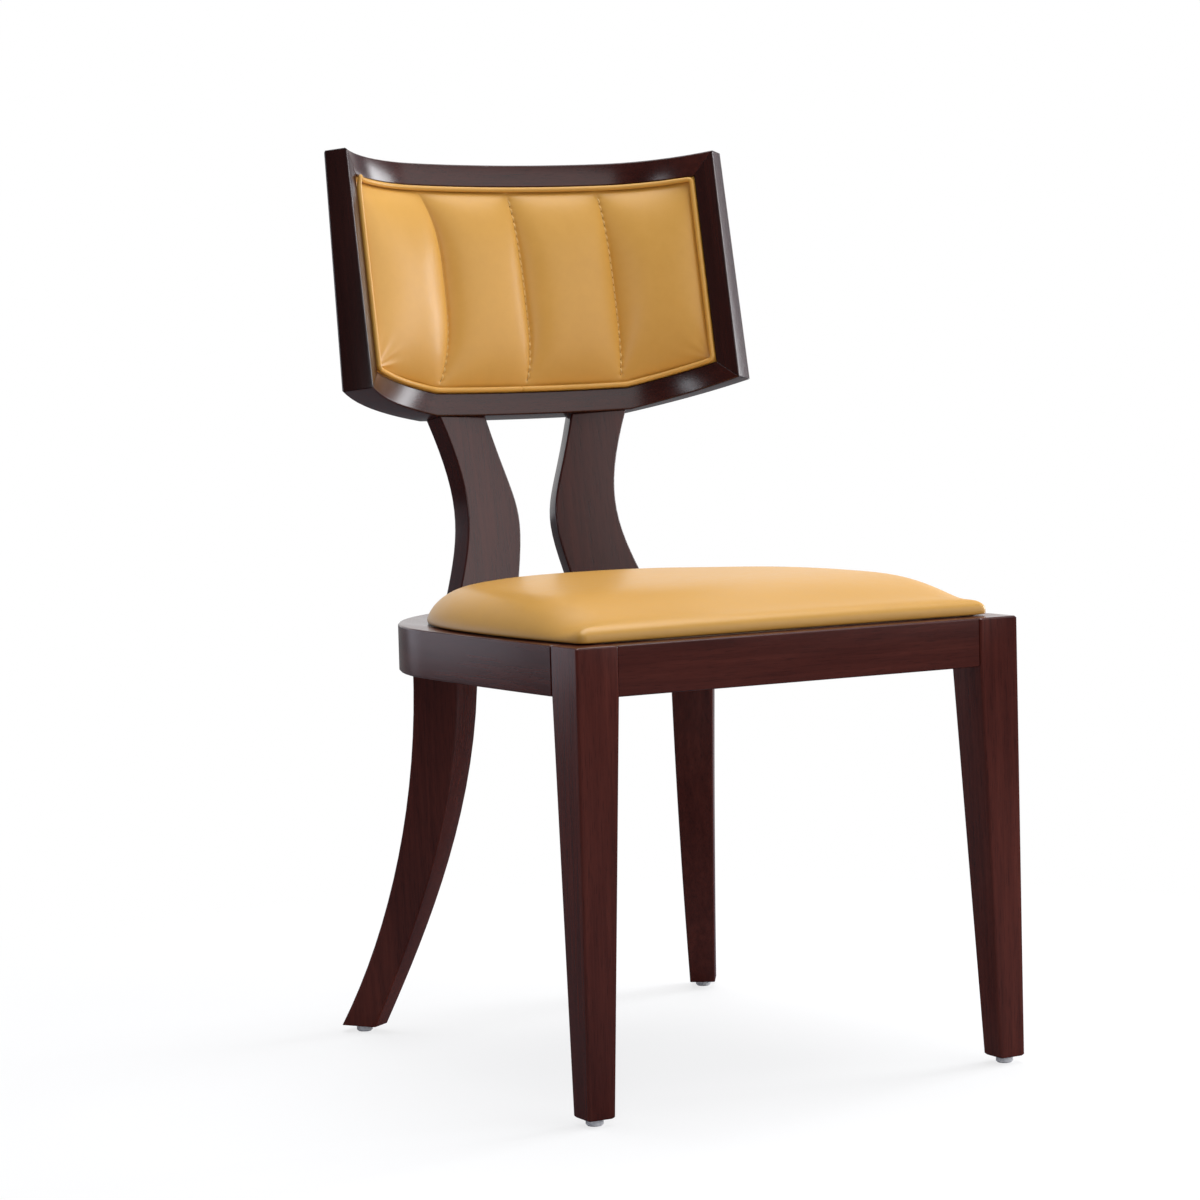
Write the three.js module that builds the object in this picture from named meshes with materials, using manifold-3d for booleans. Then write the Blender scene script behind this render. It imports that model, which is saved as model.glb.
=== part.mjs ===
import * as THREE from "three";
import { mergeVertices, toCreasedNormals } from "three/addons/utils/BufferGeometryUtils.js";
import Module from "manifold-3d";

// A klismos side chair: a stained wooden seat frame with tapered front legs and sabre rear legs,
// two shaped splats, and a bent, channelled back cushion in a mitred frame.
// Lengths are in millimetres and angles in degrees. z runs up from the floor. y runs back from the
// front faces of the front legs, until the last group centres the chair over its origin.

const wasm = await Module();
wasm.setup();

// Fits and overruns
const seatedGap = 0.3;
const tenonSlip = 0.3;
const boreSlip = 0.3;
const overrun = 2;

// Seat frame
const seatTop = 447;
const railHeight = 48;
const frontWidth = 500;
const sideBow = 7;
const sideLength = 300;
const roundDepth = 241;
const sideRailThickness = 32;
const rearRailThickness = 78;
const frontRailThickness = 28;
const frontRailSetback = 2;
const rearJointAngle = 62;
const railArris = 1.5;

// Tenons of the seat rails
const tenonLength = 20;
const tenonThickness = 10;
const tenonShoulder = 7;

// Front legs
const postWidth = 45;
const postDepth = 50;
const frontFootWidth = 29;
const frontFootDepth = 30;
const legArris = 2.5;

// Rear legs: the outer front edge of the top, as a share of the half width and behind the straight
// sides, the turn of the plank, and its two curved edges
const rearLegShare = 0.607;
const rearLegReach = 123;
const rearLegTurn = 34;
const rearLegDepth = 53.5;
const rearLegThickness = 47;
const rearLegOuterTaper = 12;
const rearLegInnerTaper = 7;
const rearLegSweep = 119;
const rearFootDepth = 41;
const frontEdgeTopPull = 150;
const frontEdgeFootPull = 120;
const frontEdgeLean = 27;
const rearEdgeTopPull = 140;
const rearEdgeFootPull = 130;
const rearEdgeLean = 31;

// Glides
const glideHeight = 7;
const glideRadius = 8.5;
const glideChamfer = 1.5;
const glidePinRadius = 2;
const glidePinLength = 14;

// Corner blocks: a rear one ends on the rear rail, past its joint
const blockHeight = 30;
const blockFrontReach = 55;
const blockSideReach = 50;
const rearBlockStartAngle = 15;
const rearBlockLap = 25.5;
const rearBlockInnerReach = 125;
const rearBlockKneeInset = 107;
const rearBlockKneeReach = 100;

// Screws and dowels
const screwRadius = 2;
const screwHeadRadius = 4.5;
const screwHeadDepth = 3;
const frontBlockScrewLength = 32;
const rearBlockScrewLength = 42;
const seatScrewLength = 40;
const legScrewRadius = 3;
const legScrewHeadRadius = 6;
const legScrewHeadDepth = 4;
const legScrewLength = 81;
const legScrewSunk = 12;
const dowelRadius = 4;
const dowelLength = 40;

// Places of the screws and dowels: in from the side or past the rear rail's joint, and behind the
// front or the straight sides
const frontScrewInset = 85;
const frontScrewY = 46;
const sideScrewInset = 53;
const sideScrewY = 82;
const rearSideScrewInset = 74;
const rearSideScrewReach = 81;
const rearSideScrewAngle = 25;
const rearScrewLap = 13.5;
const rearScrewReach = 128;
const frontSeatScrewInset = 67;
const frontSeatScrewY = 58;
const rearSeatScrewInset = 92;
const rearSeatScrewReach = 98;
const legScrewBack = 10.5;
const legScrewIn = 29;
const dowelBack = 39;
const outerDowelIn = 10;
const innerDowelIn = 26;

// Back: where it leans from, and the bent panel laid flat
const backLean = 10.4;
const backFootReach = 193;
const panelBottom = 209;
const panelHeight = 275;
const panelHalfLength = 244;
const panelRise = 21.5;
const panelBend = 119.5;
const panelThickness = 34;
const panelTopThickness = 24.5;
const middleRadius = 744;
const middleArc = 114.5;
const endRadius = 170;

// Members of the back frame
const faceWidth = 24.5;
const rebateWidth = 8;
const lipDepth = 10;
const backArris = 1.5;

// Splats: their place, as a share of the half width, and the pulls that draw their edges
const splatShare = 0.323;
const splatSetback = 1;
const splatTurn = 12;
const splatThickness = 25;
const splatArris = 2;
const outerFoot = 40;
const outerTop = 32;
const outerLowPull = 5.5;
const outerHighPull = -6;
const outerLowPullHeight = 82;
const outerHighPullHeight = 114;
const innerFoot = 43.5;
const innerTop = 31;
const innerLowPull = 76.5;
const innerHighPull = 62;
const innerLowPullHeight = 123;
const innerHighPullHeight = 97;

// Tenons of the splats
const splatTenonWidth = 36;
const splatTenonThickness = 11;
const splatTenonLength = 15;

// Back upholstery
const pipingRadius = 2.9;
const pipingProud = 1;
const pipingCorner = 4.5;
const pipingPitch = 15;
const backCoverThickness = 1.4;
const backCrown = 14;
const backValley = 8;
const backChannels = 4;
const backEdgeRoll = 34;
const boardThickness = 6;
const rearPadRecess = 3.5;
const rearPadCrown = 3;

// Seat upholstery
const cushionFrontY = 20;
const cushionSideInset = 14;
const cushionBow = 12.5;
const cushionMiddleShare = 2 / 3;
const cushionRearInset = 63;
const cushionSquareness = 2.6;
const cushionCorner = 20;
const cushionHeight = 43;
const seatCoverThickness = 1.4;
const seatBoardThickness = 12;
const seatBoardInset = 5;
const dustCoverThickness = 0.6;
const dustCoverInset = 60;

// Rings of the seat cushion: how far each is drawn in to its middle, and how high it lies
const cushionRingShares = [
  [0.03, 0],
  [0.008, 0.16],
  [0, 0.32],
  [0.008, 0.47],
  [0.035, 0.62],
  [0.085, 0.75],
  [0.17, 0.86],
  [0.32, 0.94],
  [0.55, 0.985],
  [0.8, 1],
];
// Stations across one channel of the back cushion, and across its rolled edges
const channelShares = [0, 0.04, 0.13, 0.27, 0.42, 0.58, 0.73, 0.87, 0.96];
const rollShares = [0.06, 0.25, 0.6, 1];
// Stations up the rear pad, and how much of its crown is left at its two ends
const rearPadShares = [0, 0.06, 0.2, 0.5, 0.8, 0.94, 1];
const rearPadEndShare = 0.3;

// Smoothness
const arrisSteps = 2;
const bowSteps = 6;
const roundSteps = 14;
const cushionSteps = 26;
const legSteps = 16;
const splatSteps = 16;
const panelSteps = 10;
const turnSteps = 12;
const pipingSides = 8;
const creaseAngle = 35;

const railUnderside = seatTop - railHeight;
const halfWidth = frontWidth / 2 + sideBow;
const shoulderX = frontWidth / 2 - postWidth;
const rearLegX = halfWidth * rearLegShare;
const rearLegY = sideLength + rearLegReach;
const splatX = halfWidth * splatShare;
const panelTaper = panelThickness - panelTopThickness;
const cushionFrontHalf = frontWidth / 2 - cushionSideInset;
const cushionMiddleY = sideLength * cushionMiddleShare;
const cushionRearDepth = sideLength + roundDepth - cushionRearInset - cushionMiddleY;
const radians = THREE.MathUtils.degToRad;
const degrees = THREE.MathUtils.radToDeg;
const mix = THREE.MathUtils.lerp;

const stainedWood = () =>
  new THREE.MeshStandardMaterial({ color: 0x3b1c17, roughness: 0.38, metalness: 0 });
const plainWood = () =>
  new THREE.MeshStandardMaterial({ color: 0xa8845c, roughness: 0.75, metalness: 0 });
const leather = () =>
  new THREE.MeshStandardMaterial({ color: 0xdba34a, roughness: 0.42, metalness: 0 });
const foam = () =>
  new THREE.MeshStandardMaterial({ color: 0xe9e2c4, roughness: 0.95, metalness: 0 });
const blackCloth = () =>
  new THREE.MeshStandardMaterial({ color: 0x1c1b1a, roughness: 0.95, metalness: 0 });
const paleNylon = () =>
  new THREE.MeshStandardMaterial({ color: 0xd9d9de, roughness: 0.5, metalness: 0 });
const steel = () =>
  new THREE.MeshStandardMaterial({ color: 0x9a9a98, roughness: 0.35, metalness: 0.9 });

// Solids

// A closed solid from its points and triangles, turned so that it faces outwards.
function solidFrom(positions, triangles) {
  let volume = 0;
  const point = (i) => new THREE.Vector3().fromArray(positions, triangles[i] * 3);
  for (let i = 0; i < triangles.length; i += 3)
    volume += point(i).dot(point(i + 1).cross(point(i + 2)));
  const triVerts = new Uint32Array(volume < 0 ? triangles.toReversed() : triangles);
  const vertProperties = new Float32Array(positions);
  return new wasm.Manifold(new wasm.Mesh({ numProp: 3, vertProperties, triVerts }));
}

function solidOf(geometry) {
  geometry.deleteAttribute("normal");
  geometry.deleteAttribute("uv");
  const merged = mergeVertices(geometry);
  return solidFrom(Array.from(merged.attributes.position.array), Array.from(merged.index.array));
}

function geometryOf(solid) {
  const { vertProperties, triVerts } = solid.getMesh();
  const geometry = new THREE.BufferGeometry();
  geometry.setAttribute("position", new THREE.BufferAttribute(vertProperties, 3));
  geometry.setIndex(new THREE.BufferAttribute(triVerts, 1));
  return toCreasedNormals(geometry, radians(creaseAngle));
}

// Triangles that close a ring, turned the way the ring runs. They meet in the ring's middle where
// some of its points lie in line, as ear cutting leaves those out.
function closeRing(ring, first, positions) {
  const normal = new THREE.Vector3();
  ring.forEach((p, i) => normal.add(p.clone().cross(ring[(i + 1) % ring.length])));
  const across = ring[1].clone().sub(ring[0]).normalize();
  const up = normal.normalize().clone().cross(across);
  const flat = ring.map((p) => new THREE.Vector2(p.dot(across), p.dot(up)));
  const faces = THREE.ShapeUtils.triangulateShape(flat, []);
  if (faces.length < ring.length - 2) {
    const middle = ring.reduce((sum, p) => sum.add(p), new THREE.Vector3());
    const centre = positions.length / 3;
    positions.push(...middle.divideScalar(ring.length).toArray());
    return ring.map((_, i) => [first + i, first + ((i + 1) % ring.length), centre]);
  }
  return faces.map(([a, b, c]) => {
    const turn = flat[b].clone().sub(flat[a]).cross(flat[c].clone().sub(flat[a]));
    return (turn < 0 ? [a, c, b] : [a, b, c]).map((i) => first + i);
  });
}

// A solid skinned over rings with the same number of points. A looped one has no ends to close.
function loft(rings, looped = false) {
  const count = rings[0].length;
  const positions = rings.flat().flatMap((p) => p.toArray());
  const triangles = [];
  const spans = looped ? rings.length : rings.length - 1;
  for (let k = 0; k < spans; k++)
    for (let i = 0; i < count; i++) {
      const [here, next] = [k * count, ((k + 1) % rings.length) * count];
      const j = (i + 1) % count;
      triangles.push(here + i, here + j, next + j, here + i, next + j, next + i);
    }
  if (!looped) {
    const last = (rings.length - 1) * count;
    for (const [a, b, c] of closeRing(rings[0], 0, positions)) triangles.push(a, c, b);
    for (const face of closeRing(rings.at(-1), last, positions)) triangles.push(...face);
  }
  return solidFrom(positions, triangles);
}

// A box between two opposite corners.
function box(from, to) {
  const size = to.clone().sub(from);
  const geometry = new THREE.BoxGeometry(...size.toArray().map(Math.abs));
  geometry.translate(...from.clone().lerp(to, 0.5).toArray());
  return solidOf(geometry);
}

// A round solid about the z axis, from a profile of [radius, height] pairs that begins and ends
// on the axis.
function turned(profile) {
  const points = profile.map(([radius, z]) => new THREE.Vector2(radius, z));
  const geometry = new THREE.LatheGeometry(points, turnSteps);
  geometry.rotateX(Math.PI / 2);
  return solidOf(geometry);
}

// A plank with the given outline in x and y, its upper and lower arrises eased.
function plank(outline, height, arris) {
  const geometry = new THREE.ExtrudeGeometry(new THREE.Shape(outline), {
    depth: height - arris - arris,
    bevelEnabled: arris > 0,
    bevelThickness: arris,
    bevelSize: arris,
    bevelOffset: -arris,
    bevelSegments: 1,
    steps: 1,
  });
  geometry.translate(0, 0, arris);
  return solidOf(geometry);
}

// The [x, y] points of a rectangle with round corners.
function roundedRectangle(x0, x1, y0, y1, radius) {
  const centres = [
    [x1 - radius, y1 - radius],
    [x0 + radius, y1 - radius],
    [x0 + radius, y0 + radius],
    [x1 - radius, y0 + radius],
  ];
  return centres.flatMap(([x, y], quarter) =>
    spread(quarter, quarter + 1, arrisSteps).map((turns) => {
      const angle = (turns * Math.PI) / 2;
      return [x + radius * Math.cos(angle), y + radius * Math.sin(angle)];
    }),
  );
}

function spread(from, to, steps) {
  return Array.from({ length: steps + 1 }, (_, i) => mix(from, to, i / steps));
}

// The groups of the chair

const chair = new THREE.Group();
const seatFrame = new THREE.Group();
seatFrame.position.z = railUnderside;
const seat = new THREE.Group();
seat.position.set(0, cushionMiddleY, seatTop + seatedGap);
const back = new THREE.Group();
back.position.set(0, sideLength + backFootReach, seatTop);
back.rotation.x = -radians(backLean);
chair.add(seatFrame, seat, back);

const sides = [
  { name: "left", sign: -1, leg: new THREE.Group(), splat: new THREE.Group() },
  { name: "right", sign: 1, leg: new THREE.Group(), splat: new THREE.Group() },
];
for (const { sign, leg, splat } of sides) {
  leg.position.set(sign * rearLegX, rearLegY, 0);
  leg.rotation.z = -sign * radians(rearLegTurn);
  splat.position.set(sign * splatX, splatSetback, 0);
  splat.rotation.z = -sign * radians(splatTurn);
  chair.add(leg);
  back.add(splat);
}
chair.updateMatrixWorld(true);

const meshes = new Map();
const solids = new Map();

// Adds a named piece to a group. Its geometry is made at the end, when all its cuts are made.
function place(name, solid, group, material) {
  const mesh = new THREE.Mesh(undefined, material);
  mesh.name = name;
  group.add(mesh);
  mesh.updateWorldMatrix(true, false);
  meshes.set(name, mesh);
  solids.set(name, solid);
  return mesh;
}

// Cuts a tool that is drawn in a group's frame out of a piece, whichever group that is in.
function cut(name, tool, group) {
  const matrix = meshes.get(name).matrixWorld.clone().invert().multiply(group.matrixWorld);
  solids.set(name, solids.get(name).subtract(tool.transform(matrix.elements)));
}

// Seat frame

// The outer line of the seat frame from above: a bowed side, then a quarter of an ellipse. The
// inner line lies inside it by the thickness of the rails.
const bowX = (y) => {
  const share = (sideLength - y) / (sideLength - postDepth);
  return halfWidth - sideBow * share * share;
};

function roundPoint(sideInset, rearInset, angle) {
  const x = (halfWidth - sideInset) * Math.cos(radians(angle));
  return new THREE.Vector2(x, sideLength + (roundDepth - rearInset) * Math.sin(radians(angle)));
}

const outerRound = (angle) => roundPoint(0, 0, angle);
const innerRound = (angle) => roundPoint(sideRailThickness, rearRailThickness, angle);
const mirrored = (sign, points) => points.map((p) => new THREE.Vector2(sign * p.x, p.y));

function sideRailOutline(sign) {
  const bow = spread(postDepth + seatedGap, sideLength, bowSteps);
  const round = spread(0, rearJointAngle, roundSteps).slice(1);
  const outer = bow.map((y) => new THREE.Vector2(bowX(y), y)).concat(round.map(outerRound));
  const inner = bow.map((y) => new THREE.Vector2(bowX(y) - sideRailThickness, y));
  return mirrored(sign, [...outer, ...inner.concat(round.map(innerRound)).reverse()]);
}

function rearRailOutline() {
  const start = rearJointAngle + degrees(seatedGap / roundDepth);
  const angles = spread(start, 180 - start, roundSteps);
  return [...angles.map(outerRound), ...angles.map(innerRound).reverse()];
}

function frontRailOutline() {
  const x = shoulderX - seatedGap;
  const rear = frontRailSetback + frontRailThickness;
  return [
    new THREE.Vector2(-x, frontRailSetback),
    new THREE.Vector2(x, frontRailSetback),
    new THREE.Vector2(x, rear),
    new THREE.Vector2(-x, rear),
  ];
}

// A tenon on the end of a rail, or with slip the mortise for it. It starts inside the rail at a
// joint and runs out along a heading.
function railTenon(joint, heading, slip) {
  const length = tenonLength + overrun + slip;
  const height = railHeight - tenonShoulder - tenonShoulder + slip + slip;
  const geometry = new THREE.BoxGeometry(length, tenonThickness + slip + slip, height);
  geometry.translate(length / 2 - overrun, 0, railHeight / 2);
  geometry.rotateZ(heading.angle());
  geometry.translate(joint.x, joint.y, 0);
  return solidOf(geometry);
}

function frontRailTenon(sign, slip) {
  const y = frontRailSetback + frontRailThickness / 2;
  const joint = new THREE.Vector2(sign * shoulderX, y);
  return railTenon(joint, new THREE.Vector2(sign, 0), slip);
}

function sideRailTenon(sign, slip) {
  const joint = new THREE.Vector2((sign * (frontWidth - sideRailThickness)) / 2, postDepth);
  return railTenon(joint, new THREE.Vector2(0, -1), slip);
}

function rearRailTenon(sign, slip) {
  const [inner, outer] = mirrored(sign, [innerRound(rearJointAngle), outerRound(rearJointAngle)]);
  const across = outer.clone().sub(inner);
  const heading = new THREE.Vector2(across.y, -across.x).multiplyScalar(sign);
  return railTenon(inner.add(outer).divideScalar(2), heading, slip);
}

function addSeatRails() {
  let frontRail = plank(frontRailOutline(), railHeight, railArris);
  let rearRail = plank(rearRailOutline(), railHeight, railArris);
  for (const { name, sign } of sides) {
    frontRail = frontRail.add(frontRailTenon(sign, 0));
    rearRail = rearRail.add(rearRailTenon(sign, 0));
    const sideRail = plank(sideRailOutline(sign), railHeight, railArris);
    const joined = sideRail.add(sideRailTenon(sign, 0)).subtract(rearRailTenon(sign, tenonSlip));
    place("side_rail_" + name, joined, seatFrame, stainedWood());
  }
  place("front_rail", frontRail, seatFrame, stainedWood());
  place("rear_rail", rearRail, seatFrame, stainedWood());
}

// A block that stiffens the corner behind a front leg, with a slanted inner face.
function frontBlockOutline() {
  const railBack = frontRailSetback + frontRailThickness + seatedGap;
  const postBack = postDepth + seatedGap;
  const sideEnd = postBack + blockSideReach;
  const innerX = (y) => bowX(y) - sideRailThickness - seatedGap;
  return [
    new THREE.Vector2(shoulderX - blockFrontReach, railBack),
    new THREE.Vector2(shoulderX - seatedGap, railBack),
    new THREE.Vector2(shoulderX - seatedGap, postBack),
    new THREE.Vector2(innerX(postBack), postBack),
    new THREE.Vector2(innerX(sideEnd), sideEnd),
  ];
}

// A block that stiffens a rear corner of the frame, in front of the rear leg.
function rearBlockOutline() {
  const sideInset = sideRailThickness + seatedGap;
  const rearInset = rearRailThickness + seatedGap;
  const innerX = innerRound(rearJointAngle).x - rearBlockLap;
  const endAngle = degrees(Math.acos(innerX / (halfWidth - sideInset)));
  const round = spread(rearBlockStartAngle, endAngle, roundSteps);
  return [
    ...round.map((angle) => roundPoint(sideInset, rearInset, angle)),
    new THREE.Vector2(innerX, sideLength + rearBlockInnerReach),
    new THREE.Vector2(halfWidth - rearBlockKneeInset, sideLength + rearBlockKneeReach),
  ];
}

function addCornerBlocks() {
  for (const { name, sign } of sides) {
    const front = plank(mirrored(sign, frontBlockOutline()), blockHeight, railArris);
    const raised = front.translate([0, 0, railHeight - blockHeight]);
    place("corner_block_front_" + name, raised, seatFrame, plainWood());
    const rear = plank(mirrored(sign, rearBlockOutline()), railHeight, railArris);
    place("corner_block_rear_" + name, rear, seatFrame, plainWood());
  }
}

// Legs

function frontLegRing(sign, z, inset) {
  const share = THREE.MathUtils.clamp((z - glideHeight) / (railUnderside - glideHeight), 0, 1);
  const outer = frontWidth / 2;
  const inner = outer - mix(frontFootWidth, postWidth, share);
  const rear = mix(frontFootDepth, postDepth, share);
  const ring = roundedRectangle(inner + inset, outer - inset, inset, rear - inset, legArris);
  return ring.map(([x, y]) => new THREE.Vector3(sign * x, y, z));
}

// A front leg: a square post beside the rails, and under them two inner faces that taper.
function addFrontLegs() {
  const foot = new THREE.Vector2((frontWidth - frontFootWidth) / 2, frontFootDepth / 2);
  for (const { name, sign } of sides) {
    const leg = loft([
      frontLegRing(sign, glideHeight, railArris),
      frontLegRing(sign, glideHeight + railArris, 0),
      frontLegRing(sign, railUnderside, 0),
      frontLegRing(sign, seatTop - railArris, 0),
      frontLegRing(sign, seatTop, railArris),
    ]);
    place("front_leg_" + name, leg, chair, stainedWood());
    cut("front_leg_" + name, frontRailTenon(sign, tenonSlip), seatFrame);
    cut("front_leg_" + name, sideRailTenon(sign, tenonSlip), seatFrame);
    addGlide("glide_front_" + name, "front_leg_" + name, chair, sign * foot.x, foot.y);
  }
}

// One edge of a rear leg, seen square to the plank, as a curve from its top down to its foot.
function legEdge(topBack, footBack, topPull, footPull, lean) {
  const top = railUnderside - seatedGap;
  const pullBack = footBack - footPull * Math.sin(radians(lean));
  return new THREE.CubicBezierCurve(
    new THREE.Vector2(topBack, top),
    new THREE.Vector2(topBack, top - topPull),
    new THREE.Vector2(pullBack, glideHeight + footPull * Math.cos(radians(lean))),
    new THREE.Vector2(footBack, glideHeight),
  );
}

function rearLegSolid(sign) {
  const footBack = rearLegSweep + rearFootDepth;
  const front = legEdge(0, rearLegSweep, frontEdgeTopPull, frontEdgeFootPull, frontEdgeLean);
  const rear = legEdge(rearLegDepth, footBack, rearEdgeTopPull, rearEdgeFootPull, rearEdgeLean);
  const rings = spread(0, 1, legSteps).map((share) => {
    const [a, b] = [front.getPoint(share), rear.getPoint(share)];
    const depth = a.distanceTo(b);
    const outer = -rearLegOuterTaper * share;
    const inner = rearLegInnerTaper * share - rearLegThickness;
    return roundedRectangle(inner, outer, 0, depth, legArris).map(([x, along]) => {
      const p = a.clone().lerp(b, along / depth);
      return new THREE.Vector3(sign * x, p.x, p.y);
    });
  });
  return loft(rings);
}

function addRearLegs() {
  const footX = (rearLegInnerTaper - rearLegThickness - rearLegOuterTaper) / 2;
  const footY = rearLegSweep + rearFootDepth / 2;
  for (const { name, sign, leg } of sides) {
    place("rear_leg_" + name, rearLegSolid(sign), leg, stainedWood());
    addGlide("glide_rear_" + name, "rear_leg_" + name, leg, sign * footX, footY);
  }
}

// A glide with a pin that is pressed up into the foot, or with slip the hole for its pin.
function glideSolid(slip) {
  const top = glideHeight - seatedGap;
  return turned([
    [0, 0],
    [glideRadius - glideChamfer, 0],
    [glideRadius, glideChamfer],
    [glideRadius, top],
    [glidePinRadius + slip, top],
    [glidePinRadius + slip, glideHeight + glidePinLength + slip],
    [0, glideHeight + glidePinLength + slip],
  ]);
}

function addGlide(name, legName, group, x, y) {
  const mesh = place(name, glideSolid(0), group, paleNylon());
  mesh.position.set(x, y, 0);
  mesh.updateWorldMatrix(true, false);
  cut(legName, glideSolid(boreSlip), mesh);
}

// Screws and dowels

// A countersunk screw that points down from its head, or with slip the hole for it, which stays
// open above the head.
function screwSolid(size, slip) {
  const mouth = slip > 0 ? [[0, railHeight], [size.head + slip, railHeight]] : [[0, 0]];
  return turned([
    ...mouth,
    [size.head + slip, 0],
    [size.radius + slip, -size.headDepth],
    [size.radius + slip, size.headDepth - size.length],
    [0, -size.length - slip],
  ]);
}

function woodScrew(length) {
  const size = { radius: screwRadius, head: screwHeadRadius, headDepth: screwHeadDepth, length };
  return (slip) => screwSolid(size, slip);
}

function legScrew(slip) {
  const size = {
    radius: legScrewRadius,
    head: legScrewHeadRadius,
    headDepth: legScrewHeadDepth,
    length: legScrewLength,
  };
  return screwSolid(size, slip);
}

function dowelSolid(slip) {
  const end = dowelLength / 2 + slip;
  const radius = dowelRadius + slip;
  return turned([
    [0, -end],
    [radius, -end],
    [radius, end],
    [0, end],
  ]);
}

// Puts a fastener in place, pointing the way given, and drills all that it holds.
function fasten(name, make, at, pointing, group, material, held) {
  const mesh = place(name, make(0), group, material);
  mesh.position.copy(at);
  mesh.quaternion.setFromUnitVectors(new THREE.Vector3(0, 0, -1), pointing);
  mesh.updateWorldMatrix(true, false);
  for (const other of held) cut(other, make(boreSlip), mesh);
}

function addBlockScrews() {
  const short = woodScrew(frontBlockScrewLength);
  const long = woodScrew(rearBlockScrewLength);
  const frontZ = railHeight - blockHeight / 2;
  const rearZ = railHeight / 2;
  for (const { name, sign } of sides) {
    const slant = radians(rearSideScrewAngle);
    const aside = new THREE.Vector3(sign, 0, 0);
    const aslant = new THREE.Vector3(sign * Math.cos(slant), Math.sin(slant), 0);
    const [ahead, behind] = [new THREE.Vector3(0, -1, 0), new THREE.Vector3(0, 1, 0)];
    const at = (inset, y, z) => new THREE.Vector3(sign * (halfWidth - inset), y, z);
    const put = (label, make, where, pointing, held) =>
      fasten("screw_" + label + "_" + name, make, where, pointing, seatFrame, steel(), held);
    const [front, rear] = ["corner_block_front_" + name, "corner_block_rear_" + name];
    const side = "side_rail_" + name;
    const rearSideAt = at(rearSideScrewInset, sideLength + rearSideScrewReach, rearZ);
    const rearX = innerRound(rearJointAngle).x - rearScrewLap;
    const rearAt = new THREE.Vector3(sign * rearX, sideLength + rearScrewReach, rearZ);
    put("front", short, at(frontScrewInset, frontScrewY, frontZ), ahead, [front, "front_rail"]);
    put("side", short, at(sideScrewInset, sideScrewY, frontZ), aside, [front, side]);
    put("rear_side", long, rearSideAt, aslant, [rear, side]);
    put("rear", long, rearAt, behind, [rear, "rear_rail"]);
  }
}

// Screws that run up through the corner blocks and hold the seat board down.
function addSeatScrews() {
  const up = new THREE.Vector3(0, 0, 1);
  const make = woodScrew(seatScrewLength);
  const head = railHeight - blockHeight;
  for (const { name, sign } of sides) {
    const [frontX, rearX] = [halfWidth - frontSeatScrewInset, halfWidth - rearSeatScrewInset];
    const front = new THREE.Vector3(sign * frontX, frontSeatScrewY, head);
    const rear = new THREE.Vector3(sign * rearX, sideLength + rearSeatScrewReach, head);
    for (const [end, at] of Object.entries({ front, rear })) {
      const held = ["corner_block_" + end + "_" + name, "seat_board"];
      fasten("seat_screw_" + end + "_" + name, make, at, up, seatFrame, steel(), held);
    }
  }
}

// A long screw down through the side rail into a rear leg, and two dowels beside it.
function addRearLegFasteners() {
  const down = new THREE.Vector3(0, 0, -1);
  for (const { name, sign, leg } of sides) {
    const legName = "rear_leg_" + name;
    const head = new THREE.Vector3(-sign * legScrewIn, legScrewBack, seatTop - legScrewSunk);
    const held = ["side_rail_" + name, legName];
    fasten("leg_screw_" + name, legScrew, head, down, leg, steel(), held);
    for (const [spot, inward] of Object.entries({ outer: outerDowelIn, inner: innerDowelIn })) {
      const at = new THREE.Vector3(-sign * inward, dowelBack, railUnderside);
      fasten("leg_dowel_" + spot + "_" + name, dowelSolid, at, down, leg, plainWood(), held);
    }
  }
}

// Back frame

// Bends the flat panel. flat.x runs along its front face from the middle and flat.y up it, and
// deep is how far behind that face a point lies. The middle and the ends are arcs that meet.
function bend(flat, deep) {
  const length = Math.abs(flat.x);
  const middleAngle = Math.min(length, middleArc) / middleRadius;
  const endAngle = Math.max(length - middleArc, 0) / endRadius;
  const radius = endAngle > 0 ? endRadius : middleRadius;
  const angle = middleAngle + endAngle;
  const x = (middleRadius - radius) * Math.sin(middleAngle) + (radius + deep) * Math.sin(angle);
  const y = (middleRadius - radius) * Math.cos(middleAngle) + (radius + deep) * Math.cos(angle);
  return new THREE.Vector3(Math.sign(flat.x) * x, y - middleRadius, panelBottom + flat.y);
}

// Corners of the flat panel drawn in by an inset. The lower edge climbs from a bend to each end.
const climb = Math.atan2(panelRise, panelHalfLength - panelBend);
const climbLine = (s, inset) => (s - panelBend) * Math.tan(climb) + inset / Math.cos(climb);
const lowEdge = (s, inset) => Math.max(inset, climbLine(Math.abs(s), inset));

// How deep the panel is at a height up it: its rear face comes forward towards its top.
const panelDepth = (up) => panelThickness - (panelTaper * up) / panelHeight;

const topEnd = (inset) => new THREE.Vector2(panelHalfLength - inset, panelHeight - inset);
const topBend = (inset) => new THREE.Vector2(panelBend, panelHeight - inset);
const lowBend = (inset) => new THREE.Vector2(panelBend - inset * Math.tan(climb / 2), inset);
const lowEnd = (inset) => {
  const s = panelHalfLength - inset;
  return new THREE.Vector2(s, climbLine(s, inset));
};
const flipped = (corner) => (inset) => {
  const p = corner(inset);
  return p.setX(-p.x);
};

// The section of a member of the back frame, with eased arrises and a rebate behind its lip: insets
// with depths behind the front face, then insets with depths before the rear face.
const frontSection = [
  [0, backArris],
  [backArris, 0],
  [faceWidth - backArris, 0],
  [faceWidth, backArris],
  [faceWidth, lipDepth],
  [faceWidth - rebateWidth, lipDepth],
];
const rearSection = [
  [faceWidth - rebateWidth, 0],
  [backArris, 0],
  [0, backArris],
];

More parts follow.
